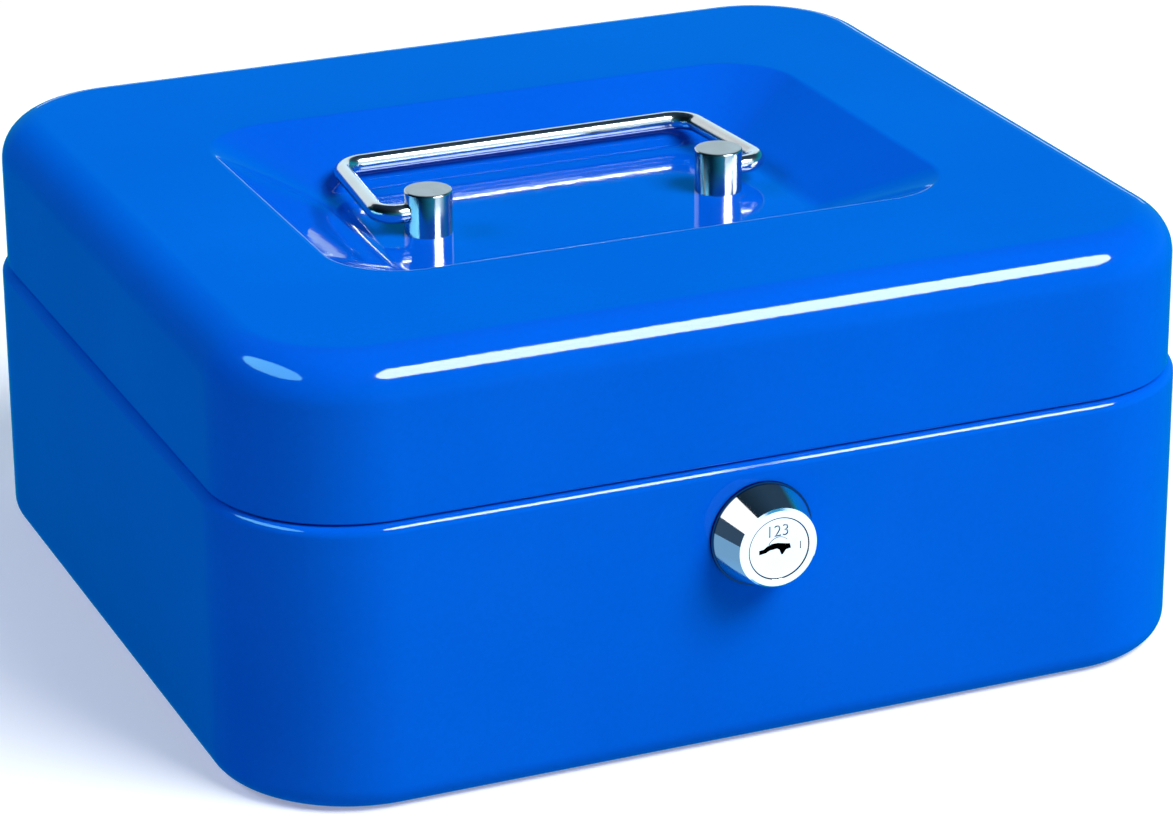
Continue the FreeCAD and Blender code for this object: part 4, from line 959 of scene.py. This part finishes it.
def make_panel(name, middle, target, width, height, brightness, parts, colour=WHITE, shape="RECTANGLE"):
    """A panel that lights only the named parts, for their reflections."""
    seen_by = bpy.data.collections.new(name)
    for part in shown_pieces():
        if part.name.startswith(parts):
            seen_by.objects.link(part)
    back = Vector(middle) - Vector(target)
    energy = brightness * math.pi * width * height
    lamp = area_lamp(name, middle, back, width, height, energy, colour, shape)
    lamp.visible_diffuse = False
    lamp.light_linking.receiver_collection = seen_by


# The surroundings' colour from straight down to straight up.
SKY = (
    (0.0, (0.0, 0.16, 0.46)), (0.42, (0.0, 0.3, 0.62)), (0.52, (0.02, 0.34, 0.6)), (0.70, (0.0, 0.26, 0.36)),
    (0.82, (0.02, 0.05, 0.09)), (1.0, (0.02, 0.05, 0.09)))


def make_world():
    world = bpy.data.worlds.new("studio")
    world.use_nodes = True
    tree = world.node_tree
    background = tree.nodes["Background"]
    place = tree.nodes.new("ShaderNodeTexCoord")
    parts = tree.nodes.new("ShaderNodeSeparateXYZ")
    ramp = tree.nodes.new("ShaderNodeValToRGB")
    # The ramp begins with its two end stops, and keeps all of its stops in order.
    stops = ramp.color_ramp.elements
    for position, _ in SKY[1:-1]:
        stops.new(position)
    for stop, (_, colour) in zip(stops, SKY):
        stop.color = (*colour, 1.0)
    half = tree.nodes.new("ShaderNodeMapRange")
    half.inputs["From Min"].default_value = -1.0
    # The surroundings are dim on the left and full on the right.
    across = tree.nodes.new("ShaderNodeMapRange")
    across.inputs["From Min"].default_value = -0.8
    across.inputs["From Max"].default_value = 0.3
    across.inputs["To Min"].default_value = 0.05
    tree.links.new(place.outputs["Generated"], parts.inputs[0])
    tree.links.new(parts.outputs[2], half.inputs["Value"])
    tree.links.new(parts.outputs[0], across.inputs["Value"])
    tree.links.new(half.outputs["Result"], ramp.inputs["Fac"])
    tree.links.new(ramp.outputs["Color"], background.inputs["Color"])
    tree.links.new(across.outputs["Result"], background.inputs["Strength"])
    bpy.context.scene.world = world


CAMERA_AZIMUTH, CAMERA_ELEVATION, CAMERA_ROLL = (math.radians(a) for a in (-22.678, 21.268, -0.473))
CAMERA_DISTANCE = 0.90573
CAMERA_TARGET = Vector((0.0, 0.0, 0.045))


def make_camera():
    back = direction(CAMERA_AZIMUTH, CAMERA_ELEVATION)
    level = Vector((math.cos(CAMERA_AZIMUTH), math.sin(CAMERA_AZIMUTH), 0.0))
    rise = back.cross(level)
    right = level * math.cos(CAMERA_ROLL) + rise * math.sin(CAMERA_ROLL)
    up = rise * math.cos(CAMERA_ROLL) - level * math.sin(CAMERA_ROLL)
    lens = bpy.data.cameras.new("camera")
    lens.sensor_width = 36.0
    lens.lens = 133.98
    lens.shift_x = 0.0148
    lens.shift_y = -0.0390
    lens.clip_start, lens.clip_end = 0.02, 50.0
    camera = new_object("camera", lens)
    turn = Matrix((right, up, back)).transposed().to_4x4()
    camera.matrix_world = Matrix.Translation(CAMERA_TARGET + back * CAMERA_DISTANCE) @ turn
    bpy.context.scene.camera = camera


SHELLS = "base_shell", "lid_shell"
BEZEL = ("lock_housing",)

make_floor()
make_light("key_panel", 36.0, 48.0, 3.0, 1.6, 1.27, 1.2, glossy=False)
make_light(
    "key_gleam", 36.0, 48.0, 2.85, 1.8, 1.1, 1.25, (0.85, 1.0, 0.96), diffuse=False, shape="ELLIPSE")
make_light("side_fill", -112.0, 40.0, 2.0, 1.0, 0.8, 0.33, (0.8, 0.97, 1.3), glossy=False)
make_light("overhead_fill", 150.0, 60.0, 3.0, 3.0, 3.0, 0.04, glossy=False)
make_light("back_strip", 155.0, 2.2, 2.0, 1.3, 0.09, 0.013, diffuse=False)
make_panel(
    "side_gleam", (-1.364, 0.12, 1.56), (0.0, 0.0, 0.06), 2.0, 0.72, 5.5, SHELLS, (0.3, 1.0, 0.95),
    "ELLIPSE")
make_panel("front_card", (0.1, -0.35, 0.001), (0.1, -0.35, 1.0), 0.6, 0.4, 1.15, ("lock_",))
make_panel("rear_card", (0.05, 0.75, 0.32), (0.0, 0.0, 0.09), 1.2, 0.6, 0.85, ("handle_",))
make_panel("bail_card", (0.37, -0.59, 0.46), (0.0, 0.0, 0.08), 0.7, 0.7, 0.85, ("handle_",))
make_panel("lock_card", (-0.35, -0.2, 0.36), (0.0, -0.1, 0.044), 0.34, 0.36, 1.3, BEZEL)
make_panel(
    "slate_card", (-0.5, -0.19, 0.11), (0.0, -0.1, 0.044), 0.3, 0.3, 0.1, BEZEL, (0.35, 0.58, 1.0))
make_panel(
    "low_card", (-0.145, -0.125, 0.001), (-0.145, -0.125, 1.0), 0.31, 0.1, 0.6, BEZEL, (0.3, 0.62, 1.0))
make_world()
make_camera()
bpy.context.scene.view_settings.view_transform = "Standard"

bpy.context.view_layer.update()
